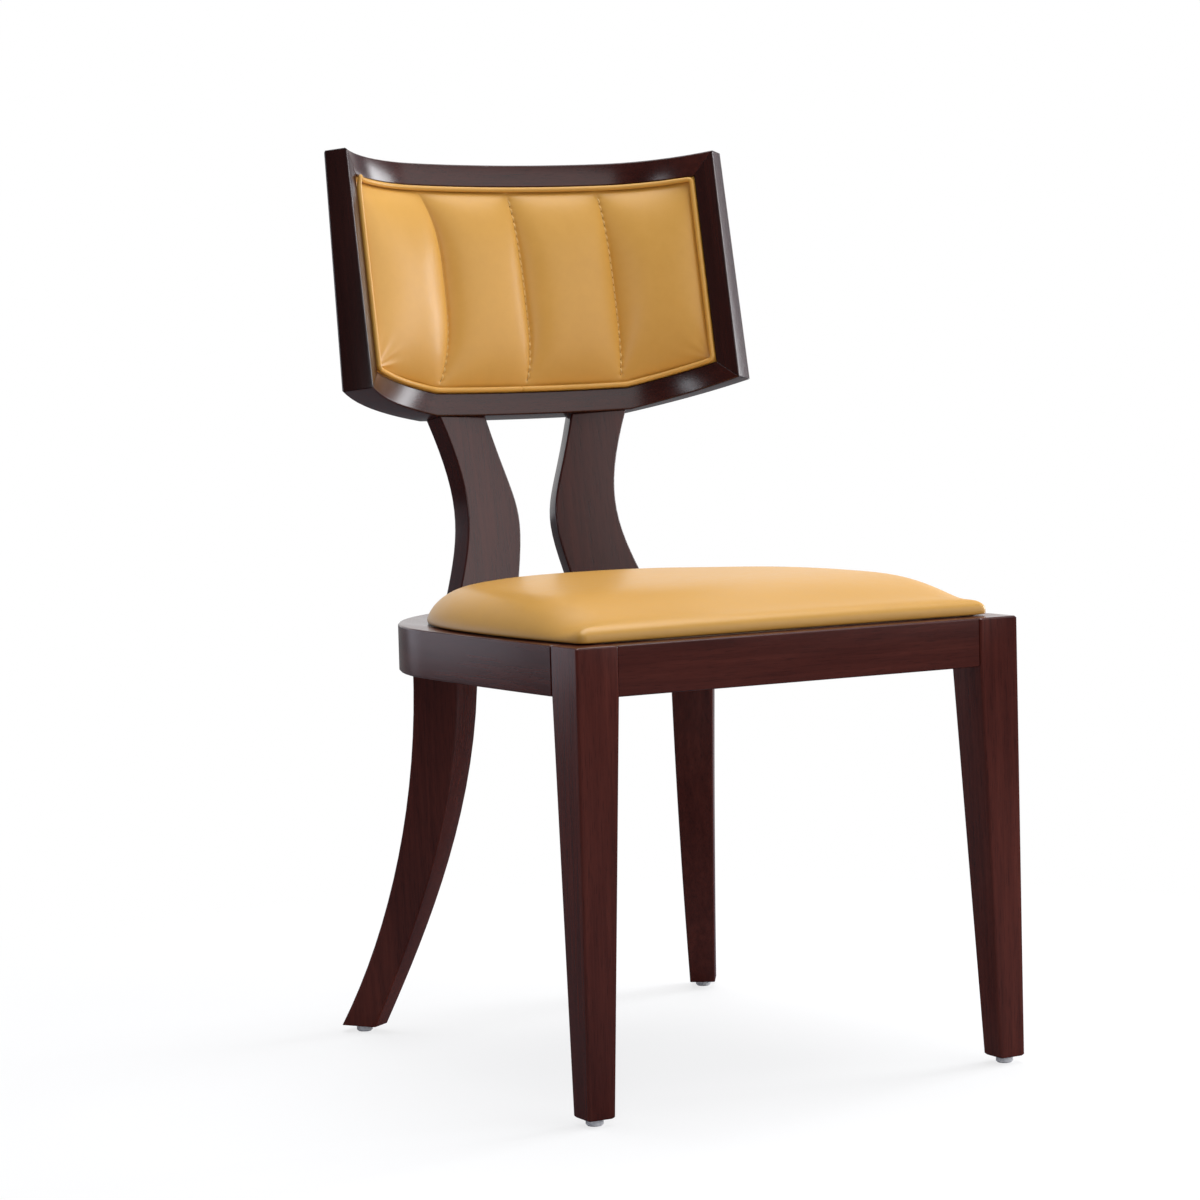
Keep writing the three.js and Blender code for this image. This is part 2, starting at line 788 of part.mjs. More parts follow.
function memberRing(from, to, share) {
  const flat = (inset) => from(inset).lerp(to(inset), share);
  const front = frontSection.map(([inset, deep]) => bend(flat(inset), deep));
  const rear = rearSection.map(([inset, ahead]) => {
    const p = flat(inset);
    return bend(p, panelDepth(p.y) - ahead);
  });
  return [...front, ...rear];
}

// A member that runs from corner to corner, mitred and held off its neighbours by the fine gap.
function member(corners, steps) {
  const rings = [];
  for (let i = 0; i + 1 < corners.length; i++) {
    const [from, to] = [corners[i], corners[i + 1]];
    const trim = seatedGap / from(0).distanceTo(to(0));
    const start = i === 0 ? trim : 0;
    const end = i + 2 === corners.length ? 1 - trim : 1;
    const shares = spread(start, end, steps).slice(i === 0 ? 0 : 1);
    rings.push(...shares.map((share) => memberRing(from, to, share)));
  }
  return loft(rings);
}

function addBackFrame() {
  const top = [flipped(topEnd), flipped(topBend), topBend, topEnd];
  const low = [flipped(lowEnd), flipped(lowBend), lowBend, lowEnd];
  place("back_top_rail", member(top, panelSteps), back, stainedWood());
  place("back_bottom_rail", member(low, panelSteps), back, stainedWood());
  place("back_stile_left", member([flipped(lowEnd), flipped(topEnd)], 1), back, stainedWood());
  place("back_stile_right", member([lowEnd, topEnd], 1), back, stainedWood());
}

// Splats

// How far the plane of the seat frame's top rises across a splat, because the back leans.
const footRise = splatThickness * Math.tan(radians(backLean));

function splatTenon(sign, innerX, outerX, z0, z1, slip) {
  const x = (sign * (outerX - innerX)) / 2;
  const reach = splatTenonWidth / 2 + slip;
  const half = splatTenonThickness / 2 + slip;
  const y = splatThickness / 2;
  return box(new THREE.Vector3(x - reach, y - half, z0), new THREE.Vector3(x + reach, y + half, z1));
}

const topTenon = (sign, slip) => {
  const tip = panelBottom + splatTenonLength + slip;
  return splatTenon(sign, innerTop, outerTop, panelBottom - overrun, tip, slip);
};
const footTenon = (sign, slip) => {
  const tip = -splatTenonLength - slip;
  return splatTenon(sign, innerFoot, outerFoot, tip, footRise + overrun, slip);
};

function splatEdge(footX, lowX, lowZ, highX, highZ, topX) {
  const curve = new THREE.CubicBezierCurve(
    new THREE.Vector2(footX, 0),
    new THREE.Vector2(lowX, lowZ),
    new THREE.Vector2(highX, highZ),
    new THREE.Vector2(topX, panelBottom - seatedGap),
  );
  return [new THREE.Vector2(footX, -footRise - overrun), ...curve.getPoints(splatSteps)];
}

// A splat: its outer edge is hollow and its inner edge swells, so that the pair looks waisted.
function splatSolid(sign) {
  const outer = splatEdge(
    outerFoot,
    outerLowPull,
    outerLowPullHeight,
    outerHighPull,
    outerHighPullHeight,
    outerTop,
  );
  const inner = splatEdge(
    -innerFoot,
    -innerLowPull,
    innerLowPullHeight,
    -innerHighPull,
    innerHighPullHeight,
    -innerTop,
  );
  const rings = outer.map((a, i) => {
    const b = inner[i];
    return roundedRectangle(b.x, a.x, 0, splatThickness, splatArris).map(([x, y]) => {
      const z = mix(b.y, a.y, (x - b.x) / (a.x - b.x));
      return new THREE.Vector3(sign * x, y, z);
    });
  });
  return loft(rings);
}

function addSplats() {
  const low = new THREE.Vector3(-halfWidth, 0, 0);
  const high = new THREE.Vector3(halfWidth, sideLength + roundDepth + overrun, seatTop + seatedGap);
  for (const { name, sign, splat } of sides) {
    const full = "splat_" + name;
    place(full, splatSolid(sign), splat, stainedWood());
    cut(full, box(low, high), chair);
    solids.set(full, solids.get(full).add(topTenon(sign, 0)).add(footTenon(sign, 0)));
    cut("back_bottom_rail", topTenon(sign, tenonSlip), splat);
    cut("rear_rail", footTenon(sign, tenonSlip), splat);
  }
}

// Back upholstery

const padInset = faceWidth + seatedGap;
const pipingInset = padInset + pipingRadius;
const grooveInset = pipingInset + pipingRadius + seatedGap;
const grooveDepth = pipingRadius - pipingProud + seatedGap;
const channelReach = panelHalfLength - pipingInset;
const channelLength = channelReach / (backChannels / 2);

// How full the back cushion is at some distance from its edge: it rolls up from the piping.
function edgeFullness(inset) {
  const share = THREE.MathUtils.clamp((inset - grooveInset) / backEdgeRoll, 0, 1);
  return Math.sqrt(1 - (1 - share) ** 2);
}

// How full a channel is at a place along the panel: nothing at its two seams.
function channelFullness(s) {
  const channels = (s + channelReach) / channelLength;
  const across = channels - Math.floor(channels);
  return Math.sqrt(1 - (2 * across - 1) ** 2);
}

function cushionDepth(s, inset) {
  const full = edgeFullness(inset) * edgeFullness(panelHalfLength - Math.abs(s));
  return grooveDepth - full * mix(backValley, backCrown, channelFullness(s));
}

// Stations along the back cushion: its ends, the grooves for the piping, and the channels.
function cushionStations(endInset) {
  const groove = panelHalfLength - grooveInset;
  const channels = spread(0, backChannels - 1, backChannels - 1).flatMap((i) =>
    channelShares.map((share) => (i + share) * channelLength - channelReach),
  );
  const end = panelHalfLength - endInset;
  return [-end, -groove, ...channels.filter((s) => Math.abs(s) < groove), groove, end];
}

// The body of the back cushion, drawn in by a cover's thickness where it is the space inside one.
function backPad(shrink, rearDepth) {
  const rim = padInset + shrink;
  const insets = [rim, grooveInset, ...rollShares.map((share) => grooveInset + share * backEdgeRoll)];
  const rings = cushionStations(rim).map((s) => {
    const low = insets.map((inset) => [lowEdge(s, inset), inset]);
    const high = insets.map((inset) => [panelHeight - inset, inset]).reverse();
    const face = [...low, ...high].map(([up, inset]) =>
      bend(new THREE.Vector2(s, up), cushionDepth(s, inset) + shrink),
    );
    const behind = [panelHeight - rim, lowEdge(s, rim)].map((up) =>
      bend(new THREE.Vector2(s, up), rearDepth),
    );
    return [...face, ...behind];
  });
  return loft(rings);
}

// A sheet in the rebate of the back frame, which may be crowned behind. Its rear depth is given at
// each height up the panel.
function bentSheet(frontDepth, rearDepth, crown) {
  const inset = faceWidth - rebateWidth + seatedGap;
  const end = panelHalfLength - inset;
  const bends = [-lowBend(inset).x, lowBend(inset).x];
  const stations = [...spread(-end, end, 3 * panelSteps), ...bends].sort((a, b) => a - b);
  const shares = crown > 0 ? rearPadShares : [0, 1];
  const rings = stations.map((s) => {
    const [low, high] = [lowEdge(s, inset), panelHeight - inset];
    const along = mix(rearPadEndShare, 1, Math.sqrt(1 - (s / end) ** 8));
    const rear = shares.map((share) => {
      const up = mix(high, low, share);
      const deep = rearDepth(up) + crown * along * Math.sqrt(1 - (2 * share - 1) ** 4);
      return bend(new THREE.Vector2(s, up), deep);
    });
    const front = [low, high].map((up) => bend(new THREE.Vector2(s, up), frontDepth));
    return [...front, ...rear];
  });
  return loft(rings);
}

// A round welt between the frame and the cushion, all round the opening.
function pipingSolid() {
  const corners = [lowEnd, topEnd, flipped(topEnd), flipped(lowEnd), flipped(lowBend), lowBend];
  const points = corners.map((corner) => corner(pipingInset));
  const path = new THREE.Path();
  points.forEach((p, i) => {
    const [before, after] = [points.at(i - 1), points[(i + 1) % points.length]].map((other) =>
      other.clone().sub(p).setLength(pipingCorner).add(p),
    );
    if (i === 0) path.moveTo(before.x, before.y);
    else path.lineTo(before.x, before.y);
    path.quadraticCurveTo(p.x, p.y, after.x, after.y);
  });
  path.closePath();
  const stepsOf = (line) => Math.ceil(Math.abs(line.v2.x - line.v1.x) / pipingPitch) || 1;
  const rings = path.curves.flatMap((curve) =>
    spread(0, 1, curve.isLineCurve ? stepsOf(curve) : 2 * arrisSteps)
      .slice(1)
      .map((t) => pipingRing(curve.getPoint(t), curve.getTangent(t))),
  );
  return loft(rings, true);
}

function pipingRing(centre, tangent) {
  const beside = new THREE.Vector2(tangent.y, -tangent.x);
  return spread(0, 2 * Math.PI, pipingSides)
    .slice(1)
    .map((angle) => {
      const flat = centre.clone().addScaledVector(beside, pipingRadius * Math.cos(angle));
      return bend(flat, pipingRadius * Math.sin(angle) - pipingProud);
    });
}

function addBackUpholstery() {
  const inside = backPad(backCoverThickness, lipDepth + overrun);
  place("back_cover", backPad(0, lipDepth).subtract(inside), back, leather());
  place("back_foam", backPad(backCoverThickness + seatedGap, lipDepth), back, foam());
  const boardFront = lipDepth + seatedGap;
  const boardRear = boardFront + boardThickness;
  place("back_board", bentSheet(boardFront, () => boardRear, 0), back, plainWood());
  const padRear = (up) => panelDepth(up) - rearPadRecess;
  const rearPad = bentSheet(boardRear + seatedGap, padRear, rearPadCrown);
  place("back_rear_cover", rearPad, back, leather());
  place("back_piping", pipingSolid(), back, leather());
}

// Seat upholstery

// The widest line of the seat cushion from above, drawn round its own middle.
function cushionOutline() {
  const frontY = cushionFrontY - cushionMiddleY;
  const halfAt = (y) => cushionFrontHalf + cushionBow * (1 - (y / frontY) ** 2);
  const cornerY = frontY + cushionCorner;
  const corner = new THREE.QuadraticBezierCurve(
    new THREE.Vector2(cushionFrontHalf - cushionCorner, frontY),
    new THREE.Vector2(cushionFrontHalf, frontY),
    new THREE.Vector2(halfAt(cornerY), cornerY),
  ).getPoints(2 * arrisSteps);
  const side = spread(cornerY, 0, bowSteps).slice(1);
  const power = 2 / cushionSquareness;
  const round = spread(0, 90, cushionSteps / 2).slice(1, -1);
  const half = [
    ...corner,
    ...side.map((y) => new THREE.Vector2(halfAt(y), y)),
    ...round.map((angle) => {
      const x = halfAt(0) * Math.cos(radians(angle)) ** power;
      return new THREE.Vector2(x, cushionRearDepth * Math.sin(radians(angle)) ** power);
    }),
  ];
  const rear = new THREE.Vector2(0, cushionRearDepth);
  return [...half, rear, ...mirrored(-1, half).reverse()];
}

// The outline drawn in towards the middle, first by a share and then by a distance.
function drawnIn(share, distance) {
  return cushionOutline().map((p) => {
    const q = p.multiplyScalar(1 - share);
    return q.setLength(q.length() - distance);
  });
}

function seatPad(shrink, below) {
  const height = cushionHeight - shrink;
  const rings = cushionRingShares.map(([share, up]) =>
    drawnIn(share, shrink).map((p) => new THREE.Vector3(p.x, p.y, height * up)),
  );
  const foot = rings[0].map((p) => new THREE.Vector3(p.x, p.y, -below));
  return loft(below > 0 ? [foot, ...rings] : rings);
}

function addSeatUpholstery() {
  const footShare = cushionRingShares[0][0];
  const boardOutline = drawnIn(footShare, seatBoardInset);
  const pocketOutline = drawnIn(footShare, seatBoardInset - seatedGap);
  const pocketHeight = seatBoardThickness + overrun + seatedGap;
  const pocket = plank(pocketOutline, pocketHeight, 0).translate([0, 0, -overrun]);
  const cover = seatPad(0, 0).subtract(seatPad(seatCoverThickness, overrun));
  const filling = seatPad(seatCoverThickness + seatedGap, 0).subtract(pocket);
  const dustOutline = drawnIn(footShare, dustCoverInset);
  const dustCover = plank(dustOutline, dustCoverThickness, 0);
  const dustZ = -seatedGap - dustCoverThickness;
  place("seat_board", plank(boardOutline, seatBoardThickness, 0), seat, plainWood());
  place("seat_cover", cover, seat, leather());
  place("seat_foam", filling, seat, foam());
  place("dust_cover", dustCover.translate([0, 0, dustZ]), seat, blackCloth());
}

addSeatRails();
addCornerBlocks();
addFrontLegs();
addRearLegs();
addBackFrame();
addSplats();
addBackUpholstery();
addSeatUpholstery();
addBlockScrews();
addSeatScrews();
addRearLegFasteners();

for (const [name, mesh] of meshes) mesh.geometry = geometryOf(solids.get(name));

const klismos = new THREE.Group();
const reach = new THREE.Box3().setFromObject(chair);
chair.position.y = -(reach.min.y + reach.max.y) / 2;
klismos.add(chair);

export default klismos;
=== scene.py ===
"""A klismos side chair: its finish, cushions, stitching, floor, light and camera.

Lengths are in metres, in the CAD model's frame: -Y in front, +X to the right from there, +Z up.
"""

import math

import bmesh
import bpy
import numpy as np
from mathutils import Matrix, Vector, noise

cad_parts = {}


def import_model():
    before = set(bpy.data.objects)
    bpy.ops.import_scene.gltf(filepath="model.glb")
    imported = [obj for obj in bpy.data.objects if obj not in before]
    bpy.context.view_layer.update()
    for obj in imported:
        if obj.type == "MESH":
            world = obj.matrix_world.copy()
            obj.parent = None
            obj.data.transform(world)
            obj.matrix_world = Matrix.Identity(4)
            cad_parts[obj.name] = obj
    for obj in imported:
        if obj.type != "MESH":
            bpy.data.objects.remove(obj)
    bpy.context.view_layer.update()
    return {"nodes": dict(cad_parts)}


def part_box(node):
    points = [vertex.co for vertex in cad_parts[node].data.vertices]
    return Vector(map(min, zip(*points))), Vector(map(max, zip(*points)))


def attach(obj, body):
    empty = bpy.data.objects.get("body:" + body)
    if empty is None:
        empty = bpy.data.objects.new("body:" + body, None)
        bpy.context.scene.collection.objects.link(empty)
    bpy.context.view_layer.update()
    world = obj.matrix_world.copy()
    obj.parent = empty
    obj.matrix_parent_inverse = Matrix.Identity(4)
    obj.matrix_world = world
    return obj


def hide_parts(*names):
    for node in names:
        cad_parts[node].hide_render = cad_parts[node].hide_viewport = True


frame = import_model()
nodes = frame["nodes"]

# Sizes of the frame that the soft pieces follow
FRONT_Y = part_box("front_leg_left")[0].y
SEAT_TOP = 0.4473
GAP = 0.0003

# The bent back panel leans from its foot. Its face follows a flat arc in the middle and a tighter
# one towards each end, and its lower edge climbs from each bend to the end.
BACK_LEAN = math.radians(10.4)
BACK_FOOT = Vector((0, FRONT_Y + 0.493, 0.447))
PANEL_BOTTOM = 0.209
PANEL_HEIGHT = 0.275
PANEL_HALF = 0.244
PANEL_BEND = 0.1195
PANEL_RISE = 0.0215
PANEL_CLIMB = math.atan2(PANEL_RISE, PANEL_HALF - PANEL_BEND)
PANEL_THICKNESS = 0.034
PANEL_TOP_THICKNESS = 0.0245
MIDDLE_RADIUS = 0.744
MIDDLE_ARC = 0.1145
END_RADIUS = 0.170

# Face of the frame round the upholstery, its lip, and the board that lies behind the lip
FACE_WIDTH = 0.0245
LIP_WIDTH = 0.008
LIP_DEPTH = 0.010
BOARD_THICKNESS = 0.006

# Welt round the back cushion. Its two ends meet at a slit, and it is pulled up and out at the upper
# left corner.
PIPING_RADIUS = 0.0029
PIPING_PROUD = 0.001
PIPING_PLAY = 0.00005
PIPING_CORNER = 0.0045
PIPING_CORNER_STEPS = 6
PIPING_STEP = 0.004
PIPING_SIDES = 12
PIPING_JOIN = -0.010
PIPING_SLIT = 0.0007
PIPING_SLIT_SHARE = 0.55
EAR_REACH = 0.006
EAR_RISE = 0.0022
EAR_SIDE = 0.0012
EAR_LIFT = 0.0022
EAR_FRONT_SHARE = 0.3

# Distances from the panel's edge to the cushion's rim, to the welt and to the groove beyond it
RIM_INSET = FACE_WIDTH + GAP
PIPING_INSET = RIM_INSET + PIPING_RADIUS
GROOVE_INSET = PIPING_INSET + PIPING_RADIUS + GAP
GROOVE_DEPTH = PIPING_RADIUS - PIPING_PROUD + GAP

# Channels of the back cushion and the sewn lines between them. Each line has the place along the
# panel where it stands fullest, how high that is, and how far its upper and its lower end draw back.
CHANNEL_CROWNS = [0.0205, 0.0165, 0.0165, 0.0165]
CHANNELS = len(CHANNEL_CROWNS)
SEAMS = [
    (-0.0930, 0.145, 0.0235, 0.0235),
    (0.0073, 0.110, 0.0080, 0.0125),
    (0.1152, 0.115, 0.0080, 0.0050),
]
SEAM_POWER = 3
SEAM_HEIGHT = 0.003
SEAM_REACH = 0.048
EDGE_REACH = 0.088
SIDE_REACH = 0.073
FULL_POWER = 2.4
FULL_ROOT = 1.5

# Steps across a channel and up the cushion, on the simulated skin and on the finished one, and how
# far they are drawn together towards the ends
COARSE_STEPS = (12, 40)
FINE_STEPS = (34, 150)
ACROSS_EASE = 0.6
UPWARD_EASE = 0.35

# Stitches, the part of each sewn line that has them, and the needle holes between them
STITCHED_SHARES = [0.42, 1.0, 1.0]
STITCH_PITCH = 0.0086
STITCH_RADIUS = 0.00095
STITCH_END_SHARE = 0.6
STITCH_ARCH_POWER = 0.6
STITCH_LIFT = 0.0009
STITCH_DIP = 0.0006
STITCH_SLANT = 0.0003
STITCH_STEPS = 8
STITCH_SIDES = 8
HOLE_SHARE = 0.07
# Each needle hole gets a small dark cap, its colour painted shade
HOLE_RADIUS = 0.0014
HOLE_LENGTHEN = 1.3
HOLE_RIM = 0.0002
HOLE_DEPTH = 0.0006
PUCKER_DEPTH = 0.0010
PUCKER_REACH = 0.003
PUCKER_COLUMNS = 9

# Creases at the two lower corners of the back cushion
CREASE_REACH = 0.022
LEFT_CREASE_DEPTH = 0.0006
RIGHT_CREASE_DEPTH = 0.0003
LEFT_CREASE_WAVES = 14
RIGHT_CREASE_WAVES = 11

# Cover behind the back
REAR_RECESS = 0.0035
REAR_CROWN = 0.003
REAR_REACH = 0.040
REAR_STEPS = (96, 50)

# Outline of the seat cushion from above, round its own middle: a straight front, bowed sides and a
# rear between an ellipse and a rectangle
CUSHION_MIDDLE = Vector((0, FRONT_Y + 0.200, SEAT_TOP))
CUSHION_FRONT = -0.177
CUSHION_HALF = 0.232
CUSHION_BOW = 0.0125
CUSHION_REAR = 0.278
CUSHION_SQUARENESS = 2.6
CUSHION_CORNER = 0.009
CUSHION_CORNER_STEPS = 10
CUSHION_SIDE_STEPS = 16
CUSHION_REAR_STEPS = 30
CUSHION_FRONT_STEPS = 24

# Height of the seat cushion: a crown that slopes to the front, and a share of a steep wall along the
# front edge, which keeps the leather clear of the seat board
CUSHION_HEIGHT = 0.0405
CUSHION_SIDE_REACH = 0.0536
CUSHION_FRONT_REACH = 0.190
CUSHION_POWER = 2.5
CUSHION_ROOT = 1.52
CUSHION_SLOPE_POWER = 4.0
CUSHION_SLOPE_ROOT = 0.46
CUSHION_CROWN_SHARE = 0.058
CUSHION_WALL_SHARE = 0.40
CUSHION_WALL_REACH = 0.018
CUSHION_WALL_POWER = 2.6
CUSHION_WALL_ROOT = 2.3
CUSHION_RIDGE = 1.5
CUSHION_NOSE = 0.021

# Rings of the seat cushion: first its hem, by inset and height, then shares of the way to the middle
HEM = [(0.0025, 0.0001), (0.0006, 0.0014), (0, 0.003)]
RING_SHARES = [0.002, 0.006, 0.012, 0.02, 0.03, 0.043, 0.06, 0.08, 0.105, 0.135, 0.17, 0.21, 0.26]
RING_SHARES += [0.32, 0.39, 0.48, 0.58, 0.69, 0.81, 0.92]

# Filling by cloth simulation: what pushes and holds each cover, and how far it may move
CLOTH_FRAMES = 20
CLOTH_QUALITY = 6
CLOTH_MASS = 0.3
BACK_FILLING = {"pressure": 4.0, "cap": 0.0035, "stiffness": 15.0, "bending": 2.0}
REAR_FILLING = {"pressure": 1.5, "cap": 0.001, "stiffness": 15.0, "bending": 4.0}
SEAT_FILLING = {"pressure": 3.0, "cap": 0.0022, "stiffness": 25.0, "bending": 8.0}

# How widely the seat's filling is evened out, and how far from the edge it rises to its full amount
SWELL_SPREAD = 0.028
SWELL_RISE = 0.050

# Keeps divisors away from zero
TINY = 0.000001

# Dust cover under the seat
DUST_INSET = 0.060
DUST_SAG = 0.0022
DUST_RIPPLE_SCALE = 18
DUST_RIPPLE_PLACE = Vector((0, 0, 0.3))
DUST_THICKNESS = 0.0005
DUST_RING_SHARES = [1.0, 0.985, 0.95, 0.85, 0.7, 0.5, 0.3, 0.12]

# Shading of the CAD meshes: how round the wood's edges look, how near two points count as one, and
# how steep an edge counts as sharp
EDGE_RADIUS = 0.0009
MERGE_DISTANCE = 0.00001
SHARP_ANGLE = math.radians(48)

# Tones of the stain, from its dark streaks to its pale ones
STAIN_TONES = [
    (0.30, (0.0700, 0.0120, 0.0076)),
    (0.50, (0.0900, 0.0160, 0.0100)),
    (0.72, (0.1110, 0.0212, 0.0132)),
]

# The photograph's camera: its turn from the front, its dip and roll, its place and its lens
CAMERA_TURN = 0.517079
CAMERA_DIP = 0.0721292
CAMERA_ROLL = -0.0265187
CAMERA_DISTANCE = 3.229915
CAMERA_SIDE = -0.194325
CAMERA_HEIGHT = 0.715590
CAMERA_LENS = 102.19
CAMERA_SENSOR = 36.0
CAMERA_NEAR = 0.05
CAMERA_FAR = 60
AHEAD = (math.sin(CAMERA_TURN), math.cos(CAMERA_TURN), 0)

# The studio is dim, and darker before the chair than behind it. Reflections see a white backdrop
# behind the chair, and only a share of it on the far floor.
WHITE = (1, 1, 1, 1)
DIM_COLOUR = (0.92, 0.95, 1.08, 1)
DIM_BEFORE = 0.03
DIM_BEHIND = 0.35
DIM_START = -1.0
DIM_END = 0.6
DIM_DIFFUSE = 0.26
BACKDROP_EDGE = 0.72
BACKDROP_FULL = 0.96
SWEEP_INNER = 1.2
SWEEP_OUTER = 2.2
SWEEP_SHARE = 0.2

# Floor: its size, how the camera sees it up to its fade to white, and how light and reflections do
FLOOR_REACH = 12.0
FLOOR_DROP = 0.0002
FLOOR_SHADED = (0.30, 0.30, 0.30, 1)
FLOOR_LIFT = 0.735
FADE_INNER = 0.55
FADE_OUTER = 1.1
FLOOR_PALE = [(0.3, (0.64, 0.64, 0.64)), (0.7, (0.66, 0.66, 0.66))]
FLOOR_MIRRORED = (0.13, 0.135, 0.15)

# Softboxes by name: place, width and height, power and colour. All face the chair's middle.
LIGHT_TARGET = Vector((0, 0, 0.55))
SOFTBOXES = {
    "right_softbox": ((2.4, -0.1, 1.0), (1.05, 1.15), 42, (0.95, 0.97, 1)),
    "key_softbox": ((1.7, -2.6, 1.6), (3.2, 1.9), 26, (1, 1, 1)),
    "front_softbox": ((-1.9, -2.82, 1.5), (0.6, 0.7), 9, (0.88, 0.94, 1)),
    "left_softbox": ((-1.4, 2.7, 0.6), (1.4, 1.0), 4.2, (0.85, 0.88, 1)),
    "top_softbox": ((0.3, 0.1, 2.7), (2.4, 2.2), 50, (1, 1, 1)),
}

scene = bpy.context.scene


# Shader nodes


class Shader:
    """A material or a world in the making. Its nodes are made by type, and fed by input name."""

    def __init__(self, name, kind="materials", ending="OutputMaterial"):
        self.owner = getattr(bpy.data, kind).new(name)
        self.owner.use_nodes = True
        self.tree = self.owner.node_tree
        self.tree.nodes.clear()
        self.output = self.node(ending)

    def node(self, kind, inputs=None, **settings):
        made = self.tree.nodes.new("ShaderNode" + kind)
        for key, value in settings.items():
            setattr(made, key, value)
        for key, value in (inputs or {}).items():
            self.feed(made.inputs[key], value)
        return made

    def feed(self, socket, value):
        if isinstance(value, bpy.types.NodeSocket):
            self.tree.links.new(value, socket)
        else:
            socket.default_value = value

    def place(self, turn=(0, 0, 0), scale=(1, 1, 1), shift=(0, 0, 0)):
        """Object coordinates turned and shifted, then stretched."""
        where = self.node("TexCoord").outputs["Object"]
        turned = self.node("Mapping", {"Vector": where, "Rotation": turn, "Location": shift})
        stretched = self.node("Mapping", {"Vector": turned.outputs[0], "Scale": scale})
        return stretched.outputs[0]

    def noise(self, vector, scale, detail=3.0, roughness=0.55, distortion=0.0):
        inputs = {"Vector": vector, "Scale": scale, "Detail": detail, "Roughness": roughness}
        return self.node("TexNoise", {**inputs, "Distortion": distortion}).outputs["Fac"]

    def span(self, value, low, high, start=0.0, end=1.0):
        """A value brought from the range between start and end to that between low and high."""
        inputs = {"Value": value, "From Min": start, "From Max": end, "To Min": low, "To Max": high}
        return self.node("MapRange", inputs).outputs[0]

    def ramp(self, value, stops):
        made = self.node("ValToRGB", {"Fac": value})
        elements = made.color_ramp.elements
        while len(elements) < len(stops):
            elements.new(0.5)
        for element, (place, colour) in zip(elements, stops):
            element.position = place
            element.color = (*colour, 1)
        return made.outputs["Color"]

    def blend(self, share, first, second, way="MIX"):
        made = self.node("Mix", data_type="RGBA", blend_type=way)
        for key, value in (("Factor_Float", share), ("A_Color", first), ("B_Color", second)):
            socket = next(s for s in made.inputs if s.identifier == key)
            self.feed(socket, (*value, 1) if isinstance(value, tuple) else value)
        return next(s for s in made.outputs if s.identifier == "Result_Color")

    def maths(self, operation, first, second=0.0):
        return self.node("Math", {0: first, 1: second}, operation=operation).outputs[0]

    def bump(self, height, distance, strength=1.0, normal=None):
        inputs = {"Height": height, "Distance": distance, "Strength": strength}
        if normal is not None:
            inputs["Normal"] = normal
        return self.node("Bump", inputs).outputs[0]

    def finish(self, **inputs):
        """Ends in a principled shader whose inputs are given with underscores for spaces."""
        named = {key.replace("_", " "): value for key, value in inputs.items()}
        return self.show(self.node("BsdfPrincipled", named))

    def show(self, shader):
        """Ends in a shader."""
        self.feed(self.output.inputs["Surface"], shader.outputs[0])
        return self.owner


def stained_wood(name, turn, shift, depth):
    """Dark hardwood under a satin lacquer. turn brings its grain upright, and depth darkens its tone,
    partly as painted shade.
    """
    s = Shader(name)
    streaks = s.noise(s.place(turn, (1, 1, 0.035), shift), 170, detail=5, roughness=0.62, distortion=0.35)
    figure = s.noise(s.place(turn, (1, 1, 0.16), shift), 14, detail=3, roughness=0.55, distortion=0.8)
    pores = s.noise(s.place(turn, (1, 1, 0.05), shift), 950, detail=2, roughness=0.5)
    tone = s.ramp(streaks, [(at, [part * depth for part in colour]) for at, colour in STAIN_TONES])
    shade = s.ramp(figure, [(0.32, (0.74, 0.70, 0.74)), (0.68, (1.26, 1.24, 1.18))])
    colour = s.blend(1.0, tone, shade, "MULTIPLY")
    dark_pores = s.ramp(pores, [(0.34, (0.50, 0.46, 0.46)), (0.44, (1, 1, 1))])
    colour = s.blend(0.55, colour, s.blend(1.0, colour, dark_pores, "MULTIPLY"))
    height = s.maths("ADD", s.span(pores, 0, 0.6, 0.30, 0.46), s.maths("MULTIPLY", streaks, 0.6))
    rounded = s.node("Bevel", {"Radius": EDGE_RADIUS}, samples=4)
    return s.finish(
        Base_Color=colour,
        Roughness=s.span(figure, 0.19, 0.26, 0.3, 0.7),
        Specular_IOR_Level=0.5,
        Normal=s.bump(height, 0.00005, 0.35, rounded.outputs[0]),
    )


def plain_wood(name, turn, shift):
    """Pale unfinished hardwood."""
    s = Shader(name)
    streaks = s.noise(s.place(turn, (1, 1, 0.05), shift), 140, detail=4, roughness=0.6, distortion=0.4)
    flecks = s.noise(s.place(turn, (1, 1, 0.12), shift), 900, detail=2, roughness=0.5)
    tone = s.ramp(
        streaks,
        [(0.3, (0.36, 0.22, 0.11)), (0.55, (0.46, 0.30, 0.165)), (0.8, (0.54, 0.37, 0.22))],
    )
    fleck = s.ramp(flecks, [(0.35, (0.72, 0.68, 0.62)), (0.45, (1, 1, 1))])
    return s.finish(
        Base_Color=s.blend(0.7, tone, s.blend(1.0, tone, fleck, "MULTIPLY")),
        Roughness=s.span(streaks, 0.6, 0.75),
        Normal=s.bump(s.maths("ADD", streaks, flecks), 0.00015, 0.5),
    )


